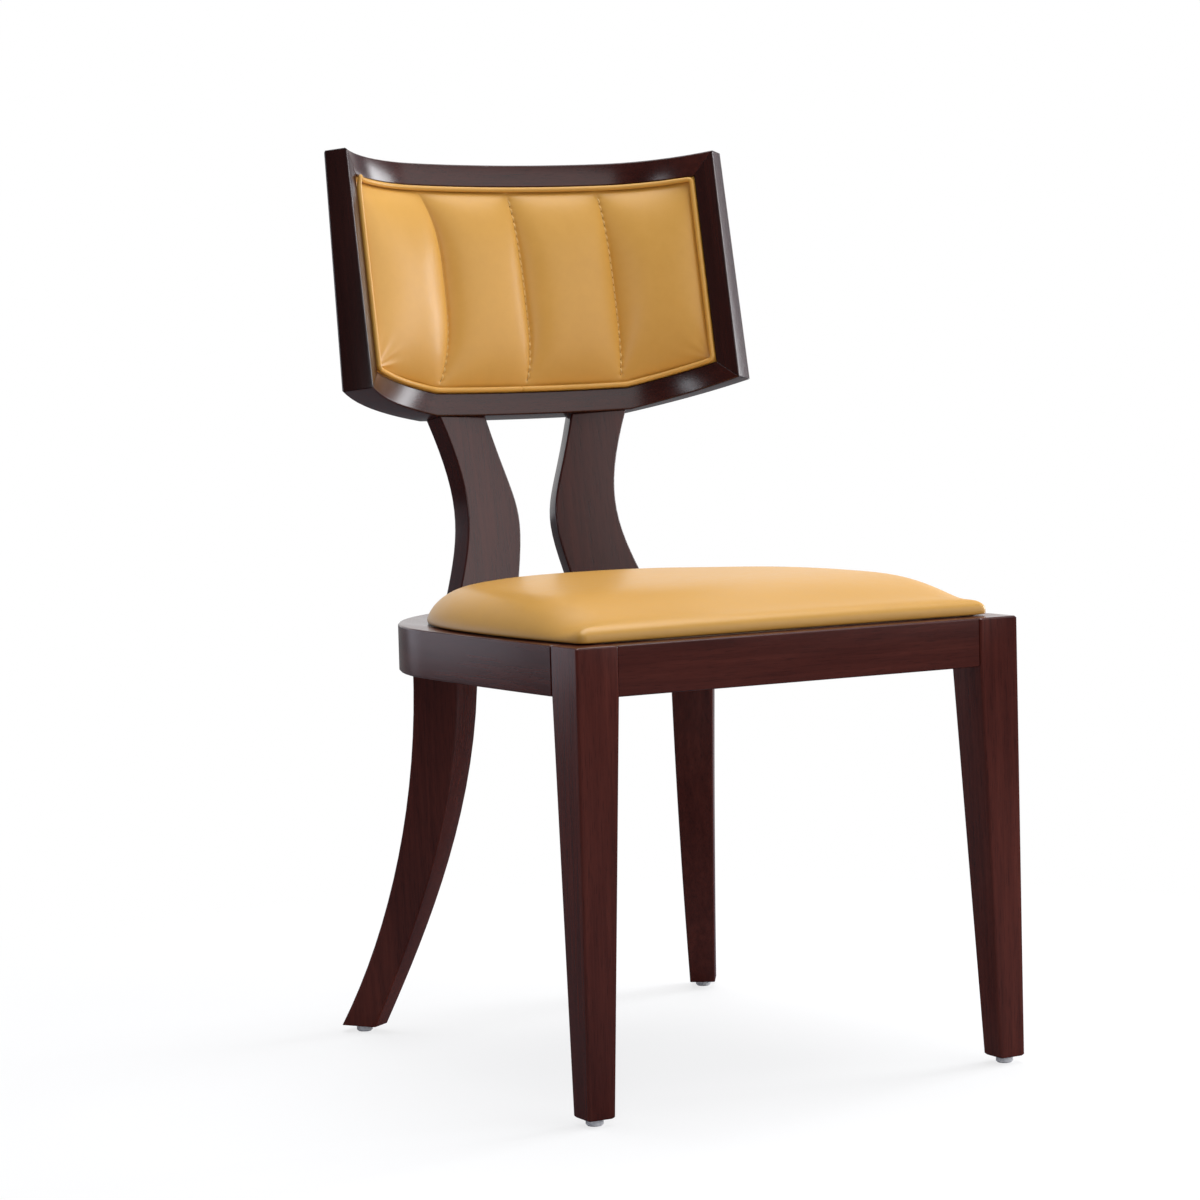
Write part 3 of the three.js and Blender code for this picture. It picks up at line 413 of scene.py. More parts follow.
def leather():
    """Smooth mustard upholstery leather with a satin face."""
    s = Shader("leather_mustard")
    where = s.place()
    cloud = s.noise(where, 7, detail=3, roughness=0.55, distortion=0.3)
    mottle = s.noise(where, 90, detail=3, roughness=0.6)
    cells = s.node("TexVoronoi", {"Vector": where, "Scale": 1150.0}, feature="SMOOTH_F1")
    creases = s.noise(where, 420, detail=4, roughness=0.65, distortion=1.2)
    tone = s.ramp(cloud, [(0.30, (0.690, 0.360, 0.064)), (0.70, (0.725, 0.383, 0.070))])
    colour = s.blend(
        0.25, tone, s.ramp(mottle, [(0.3, (0.665, 0.345, 0.060)), (0.7, (0.745, 0.400, 0.077))])
    )
    height = s.maths("ADD", cells.outputs["Distance"], s.maths("MULTIPLY", creases, 0.8))
    return s.finish(
        Base_Color=colour,
        Roughness=s.span(mottle, 0.37, 0.43, 0.3, 0.7),
        Coat_Weight=0.08,
        Coat_Roughness=0.22,
        Normal=s.bump(height, 0.00008, 0.35),
    )


def thread():
    """Twisted polyester thread, a shade lighter than the leather."""
    s = Shader("thread_mustard")
    twist = s.node("TexWave", {"Vector": s.place((0.6, 0.4, 0.2)), "Scale": 480.0, "Distortion": 1.0})
    tone = s.ramp(twist.outputs["Fac"], [(0.2, (0.72, 0.45, 0.13)), (0.8, (0.90, 0.64, 0.26))])
    return s.finish(Base_Color=tone, Roughness=0.55, Normal=s.bump(twist.outputs["Fac"], 0.0001, 0.6))


def painted_hole_shade():
    """Painted shade for the inside of a needle hole: a near-black colour."""
    s = Shader("painted_hole_shade")
    grain = s.noise(s.place(), 900, detail=2)
    tone = s.ramp(grain, [(0.3, (0.030, 0.011, 0.003)), (0.7, (0.060, 0.023, 0.006))])
    return s.finish(Base_Color=tone, Roughness=0.85)


def pale_nylon():
    """Moulded pale nylon, a little milky."""
    s = Shader("pale_nylon")
    cloud = s.noise(s.place(), 160, detail=3)
    scuff = s.noise(s.place(), 1400, detail=4, roughness=0.7)
    tone = s.ramp(cloud, [(0.3, (0.84, 0.84, 0.87)), (0.7, (0.91, 0.91, 0.93))])
    return s.finish(
        Base_Color=tone,
        Roughness=s.span(scuff, 0.38, 0.55),
        Subsurface_Weight=0.15,
        Subsurface_Radius=(0.002, 0.002, 0.002),
        Normal=s.bump(scuff, 0.00004, 0.5),
    )


def zinc_steel():
    """Bright zinc-plated steel with turning marks."""
    s = Shader("zinc_steel")
    marks = s.noise(s.place((0, 0, 0), (0.15, 0.15, 6)), 900, detail=3, roughness=0.6)
    tone = s.ramp(marks, [(0.3, (0.48, 0.48, 0.47)), (0.7, (0.62, 0.62, 0.60))])
    return s.finish(
        Base_Color=tone,
        Metallic=1.0,
        Roughness=s.span(marks, 0.25, 0.42),
        Normal=s.bump(marks, 0.00003, 0.5),
    )


def black_cloth():
    """Spun-bonded black cloth, embossed in a fine grid of dots."""
    s = Shader("black_cloth")
    where = s.place()
    fibres = s.noise(where, 1500, detail=4, roughness=0.7, distortion=2.0)
    dots = s.node("TexVoronoi", {"Vector": where, "Scale": 620.0, "Randomness": 0.12})
    tone = s.ramp(fibres, [(0.3, (0.010, 0.010, 0.010)), (0.7, (0.032, 0.032, 0.031))])
    height = s.maths("ADD", s.maths("MULTIPLY", fibres, 0.5), dots.outputs["Distance"])
    return s.finish(
        Base_Color=tone, Roughness=0.9, Sheen_Weight=0.2, Normal=s.bump(height, 0.0002, 0.7)
    )


def plywood(name, turn):
    """Thin veneers glued in layers, seen on the faces and the edges."""
    s = Shader(name)
    streaks = s.noise(s.place(turn, (1, 0.05, 1)), 120, detail=4, roughness=0.6, distortion=0.5)
    layers = s.node("TexWave", {"Vector": s.place(turn), "Scale": 105.0}, bands_direction="Z")
    tone = s.ramp(streaks, [(0.3, (0.40, 0.26, 0.14)), (0.7, (0.55, 0.39, 0.23))])
    edge = s.ramp(layers.outputs["Fac"], [(0.4, (0.62, 0.56, 0.50)), (0.6, (1, 1, 1))])
    return s.finish(
        Base_Color=s.blend(0.6, tone, s.blend(1.0, tone, edge, "MULTIPLY")),
        Roughness=0.7,
        Normal=s.bump(streaks, 0.0001, 0.5),
    )


# Finish of the rigid pieces


def smoothing():
    """Nodes that join the faces of a CAD mesh and shade it smooth but for its sharp edges."""
    group = bpy.data.node_groups.new("smooth_curves", "GeometryNodeTree")
    group.interface.new_socket("Geometry", in_out="INPUT", socket_type="NodeSocketGeometry")
    group.interface.new_socket("Geometry", in_out="OUTPUT", socket_type="NodeSocketGeometry")
    add, link = group.nodes.new, group.links.new
    start, end = add("NodeGroupInput"), add("NodeGroupOutput")
    bare = add("GeometryNodeRemoveAttribute")
    bare.inputs["Name"].default_value = "custom_normal"
    merged = add("GeometryNodeMergeByDistance")
    merged.inputs["Distance"].default_value = MERGE_DISTANCE
    smooth = add("GeometryNodeSetShadeSmooth")
    sharp = add("GeometryNodeSetShadeSmooth")
    sharp.domain = "EDGE"
    sharp.inputs["Shade Smooth"].default_value = False
    angle = add("GeometryNodeInputMeshEdgeAngle")
    steep = add("FunctionNodeCompare")
    steep.inputs[1].default_value = SHARP_ANGLE
    link(start.outputs[0], bare.inputs["Geometry"])
    link(bare.outputs[0], merged.inputs["Geometry"])
    link(merged.outputs[0], smooth.inputs["Geometry"])
    link(smooth.outputs[0], sharp.inputs["Geometry"])
    link(angle.outputs["Unsigned Angle"], steep.inputs[0])
    link(steep.outputs[0], sharp.inputs["Selection"])
    link(sharp.outputs[0], end.inputs[0])
    return group


def dress(node, material):
    """Gives a CAD node its finish, and rounds the shading of its arrises."""
    made = nodes[node]
    made.data.materials[0] = material
    made.modifiers.new("Smooth", "NODES").node_group = smooth_curves
    rounded = made.modifiers.new("Arrises", "WEIGHTED_NORMAL")
    rounded.keep_sharp = True
    rounded.mode = "FACE_AREA"


# Turns that bring a piece's grain upright, and how dark each stained piece is, with painted shade on the
# back frame and splats
UPRIGHT = (0, 0, 0)
ACROSS = (0, math.pi / 2, 0)
LENGTHWAYS = (math.pi / 2, 0, 0)
LEANING = (BACK_LEAN, 0, 0)
STAIN_AND_SHADE = {
    "front_leg": (UPRIGHT, 1.0),
    "rear_leg": (UPRIGHT, 1.0),
    "front_rail": (ACROSS, 0.85),
    "side_rail": (LENGTHWAYS, 0.85),
    "rear_rail": (ACROSS, 1.0),
    "splat": (LEANING, 0.55),
    "back_top_rail": (ACROSS, 0.5),
    "back_bottom_rail": (ACROSS, 0.42),
    "back_stile": (LEANING, 0.3),
}
PLAIN = {"corner_block": ACROSS, "leg_dowel": UPRIGHT}
GRAIN_SHIFT = (0.37, 0.53, 0.71)


def dress_frame():
    """Gives every rigid piece its material, each wooden one with grain of its own."""
    steel, nylon = zinc_steel(), pale_nylon()
    for i, node in enumerate(sorted(nodes)):
        shift = [i * part for part in GRAIN_SHIFT]
        for start, (turn, depth) in STAIN_AND_SHADE.items():
            if node.startswith(start):
                dress(node, stained_wood("stained_" + node, turn, shift, depth))
        for start, turn in PLAIN.items():
            if node.startswith(start):
                dress(node, plain_wood("plain_" + node, turn, shift))
        if "screw" in node:
            dress(node, steel)
        if node.startswith("glide"):
            dress(node, nylon)
    dress("seat_board", plywood("plywood_seat", UPRIGHT))
    dress("back_board", plywood("plywood_back", (math.pi / 2 + BACK_LEAN, 0, 0)))


# Meshes


def closed_mesh(name, points, faces):
    """A mesh whose faces look outwards."""
    mesh = bpy.data.meshes.new(name)
    mesh.from_pydata([tuple(p) for p in points], [], faces)
    mesh.validate()
    shell = bmesh.new()
    shell.from_mesh(mesh)
    bmesh.ops.recalc_face_normals(shell, faces=shell.faces)
    shell.to_mesh(mesh)
    shell.free()
    return mesh


def piece(name, points, faces, material, stands_for=()):
    """A smooth mesh that belongs to the chair."""
    mesh = closed_mesh(name, points, faces)
    made = bpy.data.objects.new(name, mesh)
    scene.collection.objects.link(made)
    mesh.materials.append(material)
    mesh.shade_smooth()
    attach(made, "root")
    if stands_for:
        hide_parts(*stands_for)
    return made


def strip(rows, columns, start=0, closed=False):
    """Faces between rows of points that each hold the same number of columns."""
    faces = []
    last = columns if closed else columns - 1
    for i in range(rows - 1):
        for j in range(last):
            a = start + i * columns + j
            b = start + i * columns + (j + 1) % columns
            faces.append((a, b, b + columns, a + columns))
    return faces


def spread(start, end, steps):
    """Evenly spaced values from one to another."""
    return [start + (end - start) * i / steps for i in range(steps + 1)]


def mix(a, b, share):
    """The value at a share of the way between two others."""
    return a + (b - a) * share


def filling(points, faces, held, pressure, cap, stiffness, bending):
    """How far each point of a closed skin moves when cloth simulation fills it, up to a cap."""
    skin = bpy.data.objects.new("skin", closed_mesh("skin", points, faces))
    scene.collection.objects.link(skin)
    skin.vertex_groups.new(name="held").add(held, 1.0, "REPLACE")
    cloth = skin.modifiers.new("Filling", "CLOTH")
    settings = cloth.settings
    settings.quality = CLOTH_QUALITY
    settings.mass = CLOTH_MASS
    settings.tension_stiffness = stiffness
    settings.compression_stiffness = stiffness
    settings.shear_stiffness = stiffness / 2
    settings.bending_stiffness = bending
    settings.vertex_group_mass = "held"
    settings.use_pressure = True
    settings.uniform_pressure_force = pressure
    settings.effector_weights.gravity = 0
    cloth.collision_settings.use_collision = False
    cloth.point_cache.frame_start = 1
    cloth.point_cache.frame_end = CLOTH_FRAMES
    for step in range(1, CLOTH_FRAMES + 1):
        scene.frame_set(step)
    filled = skin.evaluated_get(bpy.context.evaluated_depsgraph_get())
    moved = np.array([v.co[:] for v in filled.data.vertices]) - np.array([tuple(p) for p in points])
    mesh = skin.data
    bpy.data.objects.remove(skin)
    bpy.data.meshes.remove(mesh)
    scene.frame_set(1)
    length = np.linalg.norm(moved, axis=1, keepdims=True)
    return moved * np.minimum(1, cap / np.maximum(length, TINY))


def subdivide(made):
    """Rounds a mesh by one level of subdivision."""
    smoother = made.modifiers.new("Smooth", "SUBSURF")
    smoother.levels = 1
    smoother.render_levels = 1


# Back upholstery


def back_point(along, up, deep):
    """A point on the bent panel: along its front face from the middle, up it, and behind it."""
    length = abs(along)
    middle = min(length, MIDDLE_ARC) / MIDDLE_RADIUS
    end = max(length - MIDDLE_ARC, 0) / END_RADIUS
    radius = END_RADIUS if end > 0 else MIDDLE_RADIUS
    angle = middle + end
    x = (MIDDLE_RADIUS - radius) * math.sin(middle) + (radius + deep) * math.sin(angle)
    y = (MIDDLE_RADIUS - radius) * math.cos(middle) + (radius + deep) * math.cos(angle)
    flat = Vector((math.copysign(x, along), y - MIDDLE_RADIUS, PANEL_BOTTOM + up))
    return Matrix.Rotation(-BACK_LEAN, 3, "X") @ flat + BACK_FOOT


def panel_out(along):
    """The way that the panel's front faces at a place along it."""
    return (back_point(along, 0, 0) - back_point(along, 0, 1)).normalized()


def climb(along, inset):
    """The panel's lower edge where it climbs to an end, drawn in by an inset."""
    return (along - PANEL_BEND) * math.tan(PANEL_CLIMB) + inset / math.cos(PANEL_CLIMB)


def low_edge(along, inset):
    """The panel's whole lower edge, drawn in by an inset."""
    return max(inset, climb(abs(along), inset))


def fullness(distance, reach, power=FULL_POWER, root=FULL_ROOT):
    """How full leather stands at a distance from where it is held: 0 there, and 1 at its reach."""
    share = min(max(distance / reach, 0), 1)
    return (1 - (1 - share) ** power) ** (1 / root)


def roll(along, up):
    """How full the cushion is at its distance from the groove above or below."""
    low = (up - low_edge(along, 0)) * math.cos(PANEL_CLIMB)
    inset = min(low, PANEL_HEIGHT - up) - GROOVE_INSET
    return fullness(inset, EDGE_REACH)


def seam_place(seam, up):
    """Where a sewn line runs at a height: its ends draw back from its fullest place."""
    middle, height, high_draw, low_draw = seam
    if up > height:
        return middle - high_draw * ((up - height) / (PANEL_HEIGHT - RIM_INSET - height)) ** SEAM_POWER
    return middle - low_draw * ((height - up) / (height - RIM_INSET)) ** SEAM_POWER


def eased(share, ease):
    """Draws steps together towards both ends."""
    return mix(share, 0.5 - 0.5 * math.cos(math.pi * share), ease)


def cushion_columns(up, steps):
    """Places along the panel at a height, each with how proud the cushion stands there."""
    groove, rim = PANEL_HALF - GROOVE_INSET, PANEL_HALF - RIM_INSET
    edges = [-groove, *[seam_place(seam, up) for seam in SEAMS], groove]
    valleys = [0, *[SEAM_HEIGHT] * len(SEAMS), 0]
    reaches = [SIDE_REACH, *[SEAM_REACH] * len(SEAMS), SIDE_REACH]
    columns = [(-rim, 0)]
    for k, crown in enumerate(CHANNEL_CROWNS):
        for j in range(steps):
            across = eased(j / steps, ACROSS_EASE)
            along = mix(edges[k], edges[k + 1], across)
            valley = mix(valleys[k], valleys[k + 1], across)
            left, right = along - edges[k], edges[k + 1] - along
            full = fullness(left, reaches[k]) * fullness(right, reaches[k + 1])
            columns.append((along, mix(valley, crown, full)))
    return [*columns, (groove, 0), (rim, 0)]


def cushion_face(across, upwards):
    """Rows of points over the cushion's face, from its lower rim to its upper one."""
    rows = []
    for i in range(-1, upwards + 2):
        share = eased(min(max(i / upwards, 0), 1), UPWARD_EASE)
        inset = GROOVE_INSET if 0 <= i <= upwards else RIM_INSET
        row = []
        for along, proud in cushion_columns(mix(inset, PANEL_HEIGHT - inset, share), across):
            up = mix(low_edge(along, inset), PANEL_HEIGHT - inset, share)
            row.append(back_point(along, up, GROOVE_DEPTH - proud * roll(along, up)))
        rows.append(row)
    return rows


def ruled_back(inset, deep, alongs):
    """The lower and the upper line of a flat back that follows the panel."""
    low = [back_point(along, low_edge(along, inset), deep) for along in alongs]
    high = [back_point(along, PANEL_HEIGHT - inset, deep) for along in alongs]
    return low, high


def closed_skin(rows, low, high):
    """Points and faces of a closed skin: its face in rows of points, and a ruled back."""
    columns = len(rows[0])
    count = len(rows) * columns
    points = [p for row in [*rows, low, high] for p in row]
    top = count - columns
    faces = strip(len(rows), columns) + strip(2, columns, count)
    for j in range(columns - 1):
        faces.append((j, j + 1, count + j + 1, count + j))
        faces.append((top + j, top + j + 1, count + columns + j + 1, count + columns + j))
    for j in (0, columns - 1):
        side = [i * columns + j for i in range(len(rows))]
        faces.append((*side, count + columns + j, count + j))
    return points, faces


def back_outline(steps):
    """Places along the panel at which the cushion's flat back has its points."""
    return [along for along, _ in cushion_columns(PANEL_HEIGHT / 2, steps)]


def smooth_weights(fine, coarse):
    """Weights that carry values, 0 at both ends, from coarse steps to fine ones on a smooth curve."""
    weights = np.zeros((fine + 1, coarse + 1))
    for k in range(fine + 1):
        start = min(k * coarse // fine, coarse - 1)
        t = k * coarse / fine - start
        shares = ((1 - t) ** 3, 3 * t**3 - 6 * t**2 + 4, -3 * t**3 + 3 * t**2 + 3 * t + 1, t**3)
        for place, share in enumerate(shares, start - 1):
            mirrored = coarse - abs(coarse - abs(place))
            weights[k, mirrored] += share / 6 if 0 <= place <= coarse else -share / 6
    return weights


def cushion_filling():
    """How far filling moves the cushion's face, simulated on a coarse skin."""
    across, upwards = COARSE_STEPS
    fine_across, fine_up = FINE_STEPS
    rows = cushion_face(across, upwards)
    low, high = ruled_back(RIM_INSET, LIP_DEPTH - GAP, back_outline(across))
    points, faces = closed_skin(rows, low, high)
    columns, count = len(rows[0]), len(rows) * len(rows[0])
    still = {0, 1, columns - 2, columns - 1, *[1 + across * k for k in range(1, CHANNELS)]}
    held = list(range(count, len(points)))
    for i in range(len(rows)):
        for j in range(columns):
            if i < 2 or i > len(rows) - 3 or j in still:
                held.append(i * columns + j)
    moved = filling(points, faces, held, **BACK_FILLING)
    moved = moved[:count].reshape(len(rows), columns, 3)[1:-1, 1:-1]
    upward, sideways = smooth_weights(fine_up, upwards), smooth_weights(fine_across, across)
    moved = np.einsum("fi,ijc->fjc", upward, moved)
    channels = []
    for k in range(CHANNELS):
        part = np.einsum("fj,ijc->ifc", sideways, moved[:, k * across : (k + 1) * across + 1])
        channels.append(part if k == CHANNELS - 1 else part[:, :-1])
    return np.concatenate(channels, axis=1)


def pucker(rows, column, out, reach):
    """Draws the leather in round each needle hole of a sewn line, up to a row."""
    line = rows[:reach, column].copy()
    steps = np.linalg.norm(np.diff(line, axis=0), axis=1)
    walked = np.concatenate([[0], np.cumsum(steps)])
    dip = PUCKER_DEPTH * (0.5 + 0.5 * np.cos(2 * np.pi * walked / STITCH_PITCH)) ** 2
    for near in range(column - PUCKER_COLUMNS, column + PUCKER_COLUMNS + 1):
        away = np.linalg.norm(rows[:reach, near] - line, axis=1)
        fall = dip * np.exp(-((away / PUCKER_REACH) ** 2))
        rows[:reach, near] -= out * fall[:, None]


def corner_creases(rows, column, out, waves, depth):
    """Soft creases that fan out from a lower corner, where the leather is pulled down."""
    corner = rows[0, column]
    side = rows[0, column + (1 if column == 0 else -1)] - corner
    side /= np.linalg.norm(side)
    upward = np.cross(out, side)
    away = rows - corner
    across, high = away @ side, away @ upward
    distance = np.hypot(across, high)
    fan = np.sin(np.arctan2(np.abs(high), np.maximum(across, TINY)) * waves)
    fade = (distance / CREASE_REACH) * np.exp(1 - (distance / CREASE_REACH) ** 2)
    rows -= out * (depth * fan * np.minimum(fade, 1) * (distance > 0))[..., None]


def back_cushion(material):
    """Makes the channelled cushion, closed behind where it lies on its board. Returns its sewn lines."""
    across, upwards = FINE_STEPS
    rows = np.array(cushion_face(across, upwards))
    face = rows[1:-1, 1:-1]
    face += cushion_filling()
    last = face.shape[1] - 1
    left, right = np.array(panel_out(-PANEL_HALF)), np.array(panel_out(PANEL_HALF))
    corner_creases(face, 0, left, LEFT_CREASE_WAVES, LEFT_CREASE_DEPTH)
    corner_creases(face, last, right, RIGHT_CREASE_WAVES, RIGHT_CREASE_DEPTH)
    lines = []
    for k, seam in enumerate(SEAMS):
        column = across * (k + 1)
        out = np.array(panel_out(seam[0]))
        reach = round(upwards * STITCHED_SHARES[k])
        pucker(face, column, out, reach)
        lines.append([(Vector(p), Vector(out)) for p in face[:reach, column]])
    low, high = ruled_back(RIM_INSET, LIP_DEPTH - GAP, back_outline(across))
    points, faces = closed_skin([[Vector(p) for p in row] for row in rows], low, high)
    made = piece("back_cushion", points, faces, material, ("back_cover", "back_foam"))
    return lines


def along_line(line, distance):
    """The place on a line of points at a distance from its start."""
    for (a, a_out), (b, b_out) in zip(line, line[1:]):
        step = (b - a).length
        if distance <= step:
            share = distance / step
            return a.lerp(b, share), a_out.lerp(b_out, share).normalized(), (b - a).normalized()
        distance -= step
    return None


def stitch_row(name, line, thread_material, hole_shade_material):
    """Stitches that run from one needle hole to the next, and dark caps in the holes, painted shade for
    their insides.
    """
    points, faces, holes = [], [], []
    distance = STITCH_PITCH
    steps, sides = STITCH_STEPS, STITCH_SIDES
    while along_line(line, distance + STITCH_PITCH):
        holes.append(along_line(line, distance))
        first = len(points)
        for share in spread(HOLE_SHARE, 1 - HOLE_SHARE, steps):
            there, out, way = along_line(line, distance + STITCH_PITCH * share)
            side = way.cross(out).normalized()
            arch = math.sin(math.pi * (share - HOLE_SHARE) / (1 - 2 * HOLE_SHARE))
            centre = there + out * mix(-STITCH_DIP, STITCH_LIFT, arch**STITCH_ARCH_POWER)
            centre -= side * STITCH_SLANT * (2 * share - 1)
            width = STITCH_RADIUS * mix(STITCH_END_SHARE, 1, arch)
            for angle in spread(0, 2 * math.pi, sides)[1:]:
                points.append(centre + (side * math.cos(angle) + out * math.sin(angle)) * width)
        faces += strip(steps + 1, sides, first, True)
        last = len(points) - sides
        faces += [tuple(range(first + sides - 1, first - 1, -1)), tuple(range(last, last + sides))]
        distance += STITCH_PITCH
    thread_faces = len(faces)
    # Dark caps in the needle holes: painted shade
    for there, out, way in holes:
        first = len(points)
        side = way.cross(out).normalized()
        for lift, width in ((HOLE_RIM, HOLE_RADIUS), (-HOLE_DEPTH, HOLE_RADIUS / 2)):
            for angle in spread(0, 2 * math.pi, sides)[1:]:
                flat = side * math.cos(angle) + way * math.sin(angle) * HOLE_LENGTHEN
                points.append(there + out * lift + flat * width)
        faces += strip(2, sides, first, True)
        faces += [tuple(range(first, first + sides)), tuple(range(first + sides, len(points)))]
    made = piece(name, points, faces, thread_material, ())
    made.data.materials.append(hole_shade_material)
    for polygon in made.data.polygons[thread_faces:]:
        polygon.material_index = 1


def straight(a, b):
    """Evenly spaced points between two others."""
    steps = max(round((b - a).length / PIPING_STEP), 1)
    return [a.lerp(b, i / steps) for i in range(1, steps)]


def piping_path():
    """Points all round the opening of the back frame, with small round corners and a slit below."""
    s = PANEL_HALF - PIPING_INSET
    high = PANEL_HEIGHT - PIPING_INSET
    knee = PANEL_BEND - PIPING_INSET * math.tan(PANEL_CLIMB / 2)
    right = [(knee, PIPING_INSET), (s, climb(s, PIPING_INSET)), (s, high)]
    left = [(-x, y) for x, y in reversed(right)]
    corners = [Vector(p) for p in right + left]
    path = []
    for i, corner in enumerate(corners):
        before, after = corners[i - 1] - corner, corners[(i + 1) % len(corners)] - corner
        a = corner + before.normalized() * PIPING_CORNER
        b = corner + after.normalized() * PIPING_CORNER
        if path:
            path += straight(path[-1], a)
        path += [a.lerp(corner, t).lerp(corner.lerp(b, t), t) for t in spread(0, 1, PIPING_CORNER_STEPS)]
    join = Vector((PIPING_JOIN, PIPING_INSET))
    slit = Vector((PIPING_SLIT, 0))
    path += straight(path[-1], join - slit)
    path += [join - slit, join, join + slit]
    return path + straight(join + slit, path[0])


def piping(material):
    """A round welt, slit where its two ends meet and pulled up at one corner."""
    path = piping_path()
    count, sides = len(path), PIPING_SIDES
    ear = Vector((-(PANEL_HALF - PIPING_INSET), PANEL_HEIGHT - PIPING_INSET))
    points = []
    for i, here in enumerate(path):
        way = (path[(i + 1) % count] - path[i - 1]).normalized()
        beside = Vector((way.y, -way.x))
        slit = abs(here.x - PIPING_JOIN) < PIPING_SLIT / 2 and here.y < PIPING_INSET + GAP
        radius = (PIPING_RADIUS - PIPING_PLAY) * (PIPING_SLIT_SHARE if slit else 1)
        pulled = math.exp(-(((here - ear).length / EAR_REACH) ** 2))
        for angle in spread(0, 2 * math.pi, sides)[1:]:
            flat = here + beside * radius * math.cos(angle)
            flat += Vector((-EAR_SIDE, EAR_RISE)) * pulled * (math.sin(angle) < EAR_FRONT_SHARE)
            deep = radius * math.sin(angle) - PIPING_PROUD - EAR_LIFT * pulled
            points.append(back_point(flat.x, flat.y, deep))
    faces = strip(count, sides, 0, True)
    last = (count - 1) * sides
    for j in range(sides):
        k = (j + 1) % sides
        faces.append((last + j, last + k, k, j))
    made = piece("back_piping_welt", points, faces, material, ("back_piping",))
    subdivide(made)


def rear_cover(material):
    """The padded cover that closes the back, filled by cloth simulation."""
    inset = FACE_WIDTH - LIP_WIDTH + 2 * GAP
    near = LIP_DEPTH + BOARD_THICKNESS + 3 * GAP
    end = PANEL_HALF - inset
    places, shares = spread(-end, end, REAR_STEPS[0]), spread(0, 1, REAR_STEPS[1])
    rows = []
    for share in shares:
        row = []
        for along in places:
            up = mix(low_edge(along, inset), PANEL_HEIGHT - inset, share)
            across = min(share, 1 - share) * (PANEL_HEIGHT - 2 * inset)
            full = fullness(min(across, end - abs(along)), REAR_REACH)
            rear = mix(PANEL_THICKNESS, PANEL_TOP_THICKNESS, up / PANEL_HEIGHT) - REAR_RECESS
            row.append(back_point(along, up, rear + REAR_CROWN * full))
        rows.append(row)
    low, high = ruled_back(inset, near, places)
    points, faces = closed_skin(rows, low, high)
    count = len(places) * len(shares)
    held = list(range(count, len(points)))
    for i in range(count):
        row, column = divmod(i, len(places))
        if row in (0, len(shares) - 1) or column in (0, len(places) - 1):
            held.append(i)
    moved = filling(points, faces, held, **REAR_FILLING)
    points = [p + Vector(way) for p, way in zip(points, moved)]
    made = piece("rear_cover", points, faces, material, ("back_rear_cover",))


# Seat upholstery


def cushion_outline(corner):
    """A line round the seat cushion from above, round its own middle, with rounded front corners."""

    def half_at(y):
        return CUSHION_HALF + CUSHION_BOW * (1 - (y / CUSHION_FRONT) ** 2)

    corner_y = CUSHION_FRONT + corner
    a = Vector((CUSHION_HALF - corner, CUSHION_FRONT))
    b = Vector((CUSHION_HALF, CUSHION_FRONT))
    c = Vector((half_at(corner_y), corner_y))
    right = [a.lerp(b, t).lerp(b.lerp(c, t), t) for t in spread(0, 1, CUSHION_CORNER_STEPS)]
    right += [Vector((half_at(y), y)) for y in spread(corner_y, 0, CUSHION_SIDE_STEPS)[1:]]
    power = 2 / CUSHION_SQUARENESS
    for angle in spread(0, math.pi / 2, CUSHION_REAR_STEPS)[1:-1]:
        x = half_at(0) * math.cos(angle) ** power
        right.append(Vector((x, CUSHION_REAR * math.sin(angle) ** power)))
    left = [Vector((-p.x, p.y)) for p in reversed(right)]
    front = [Vector((x, CUSHION_FRONT)) for x in spread(-a.x, a.x, CUSHION_FRONT_STEPS)[1:-1]]
    return [*right, Vector((0, CUSHION_REAR)), *left, *front]


def seat_height(q):
    """How high the seat cushion stands at a place from above, round its own middle."""
    x, y = abs(q.x), q.y
    if y < 0:
        out = x / (CUSHION_HALF + CUSHION_BOW * (1 - (y / CUSHION_FRONT) ** 2))
    else:
        wide = (x / (CUSHION_HALF + CUSHION_BOW)) ** CUSHION_SQUARENESS
        out = (wide + (y / CUSHION_REAR) ** CUSHION_SQUARENESS) ** (1 / CUSHION_SQUARENESS)
    inward, back = (1 - out) * CUSHION_HALF, y - CUSHION_FRONT
    side = fullness(inward, CUSHION_SIDE_REACH, CUSHION_POWER, CUSHION_ROOT)
    slope = fullness(back, CUSHION_FRONT_REACH, CUSHION_SLOPE_POWER, CUSHION_SLOPE_ROOT)
    edge = fullness(inward, CUSHION_WALL_REACH, CUSHION_WALL_POWER, CUSHION_WALL_ROOT)
    wall = fullness(back, CUSHION_WALL_REACH, CUSHION_WALL_POWER, CUSHION_WALL_ROOT)
    nose = math.exp(-((back / CUSHION_NOSE) ** 2))
    beside = 1 - mix(side, edge, nose)
    apart = (beside**CUSHION_RIDGE + (1 - wall) ** CUSHION_RIDGE) ** (1 / CUSHION_RIDGE)
    full = mix(side * slope, max(1 - apart, 0), CUSHION_WALL_SHARE)
    away = (x / CUSHION_HALF) ** 2 + (y / CUSHION_REAR) ** 2
    low = HEM[-1][1]
    return low + (CUSHION_HEIGHT - low) * full * (1 - CUSHION_CROWN_SHARE * away)


def evened(places, moved, insets):
    """Spreads how far points moved over their neighbourhood, down to nothing where they are held."""
    smooth = np.zeros_like(moved)
    for i, place in enumerate(places):
        near = np.exp(-((places - place) ** 2).sum(axis=1) / (2 * SWELL_SPREAD**2))
        smooth[i] = near @ moved / near.sum()
    rise = np.clip(insets / SWELL_RISE, 0, 1)
    return smooth * (rise * (2 - rise))[:, None]


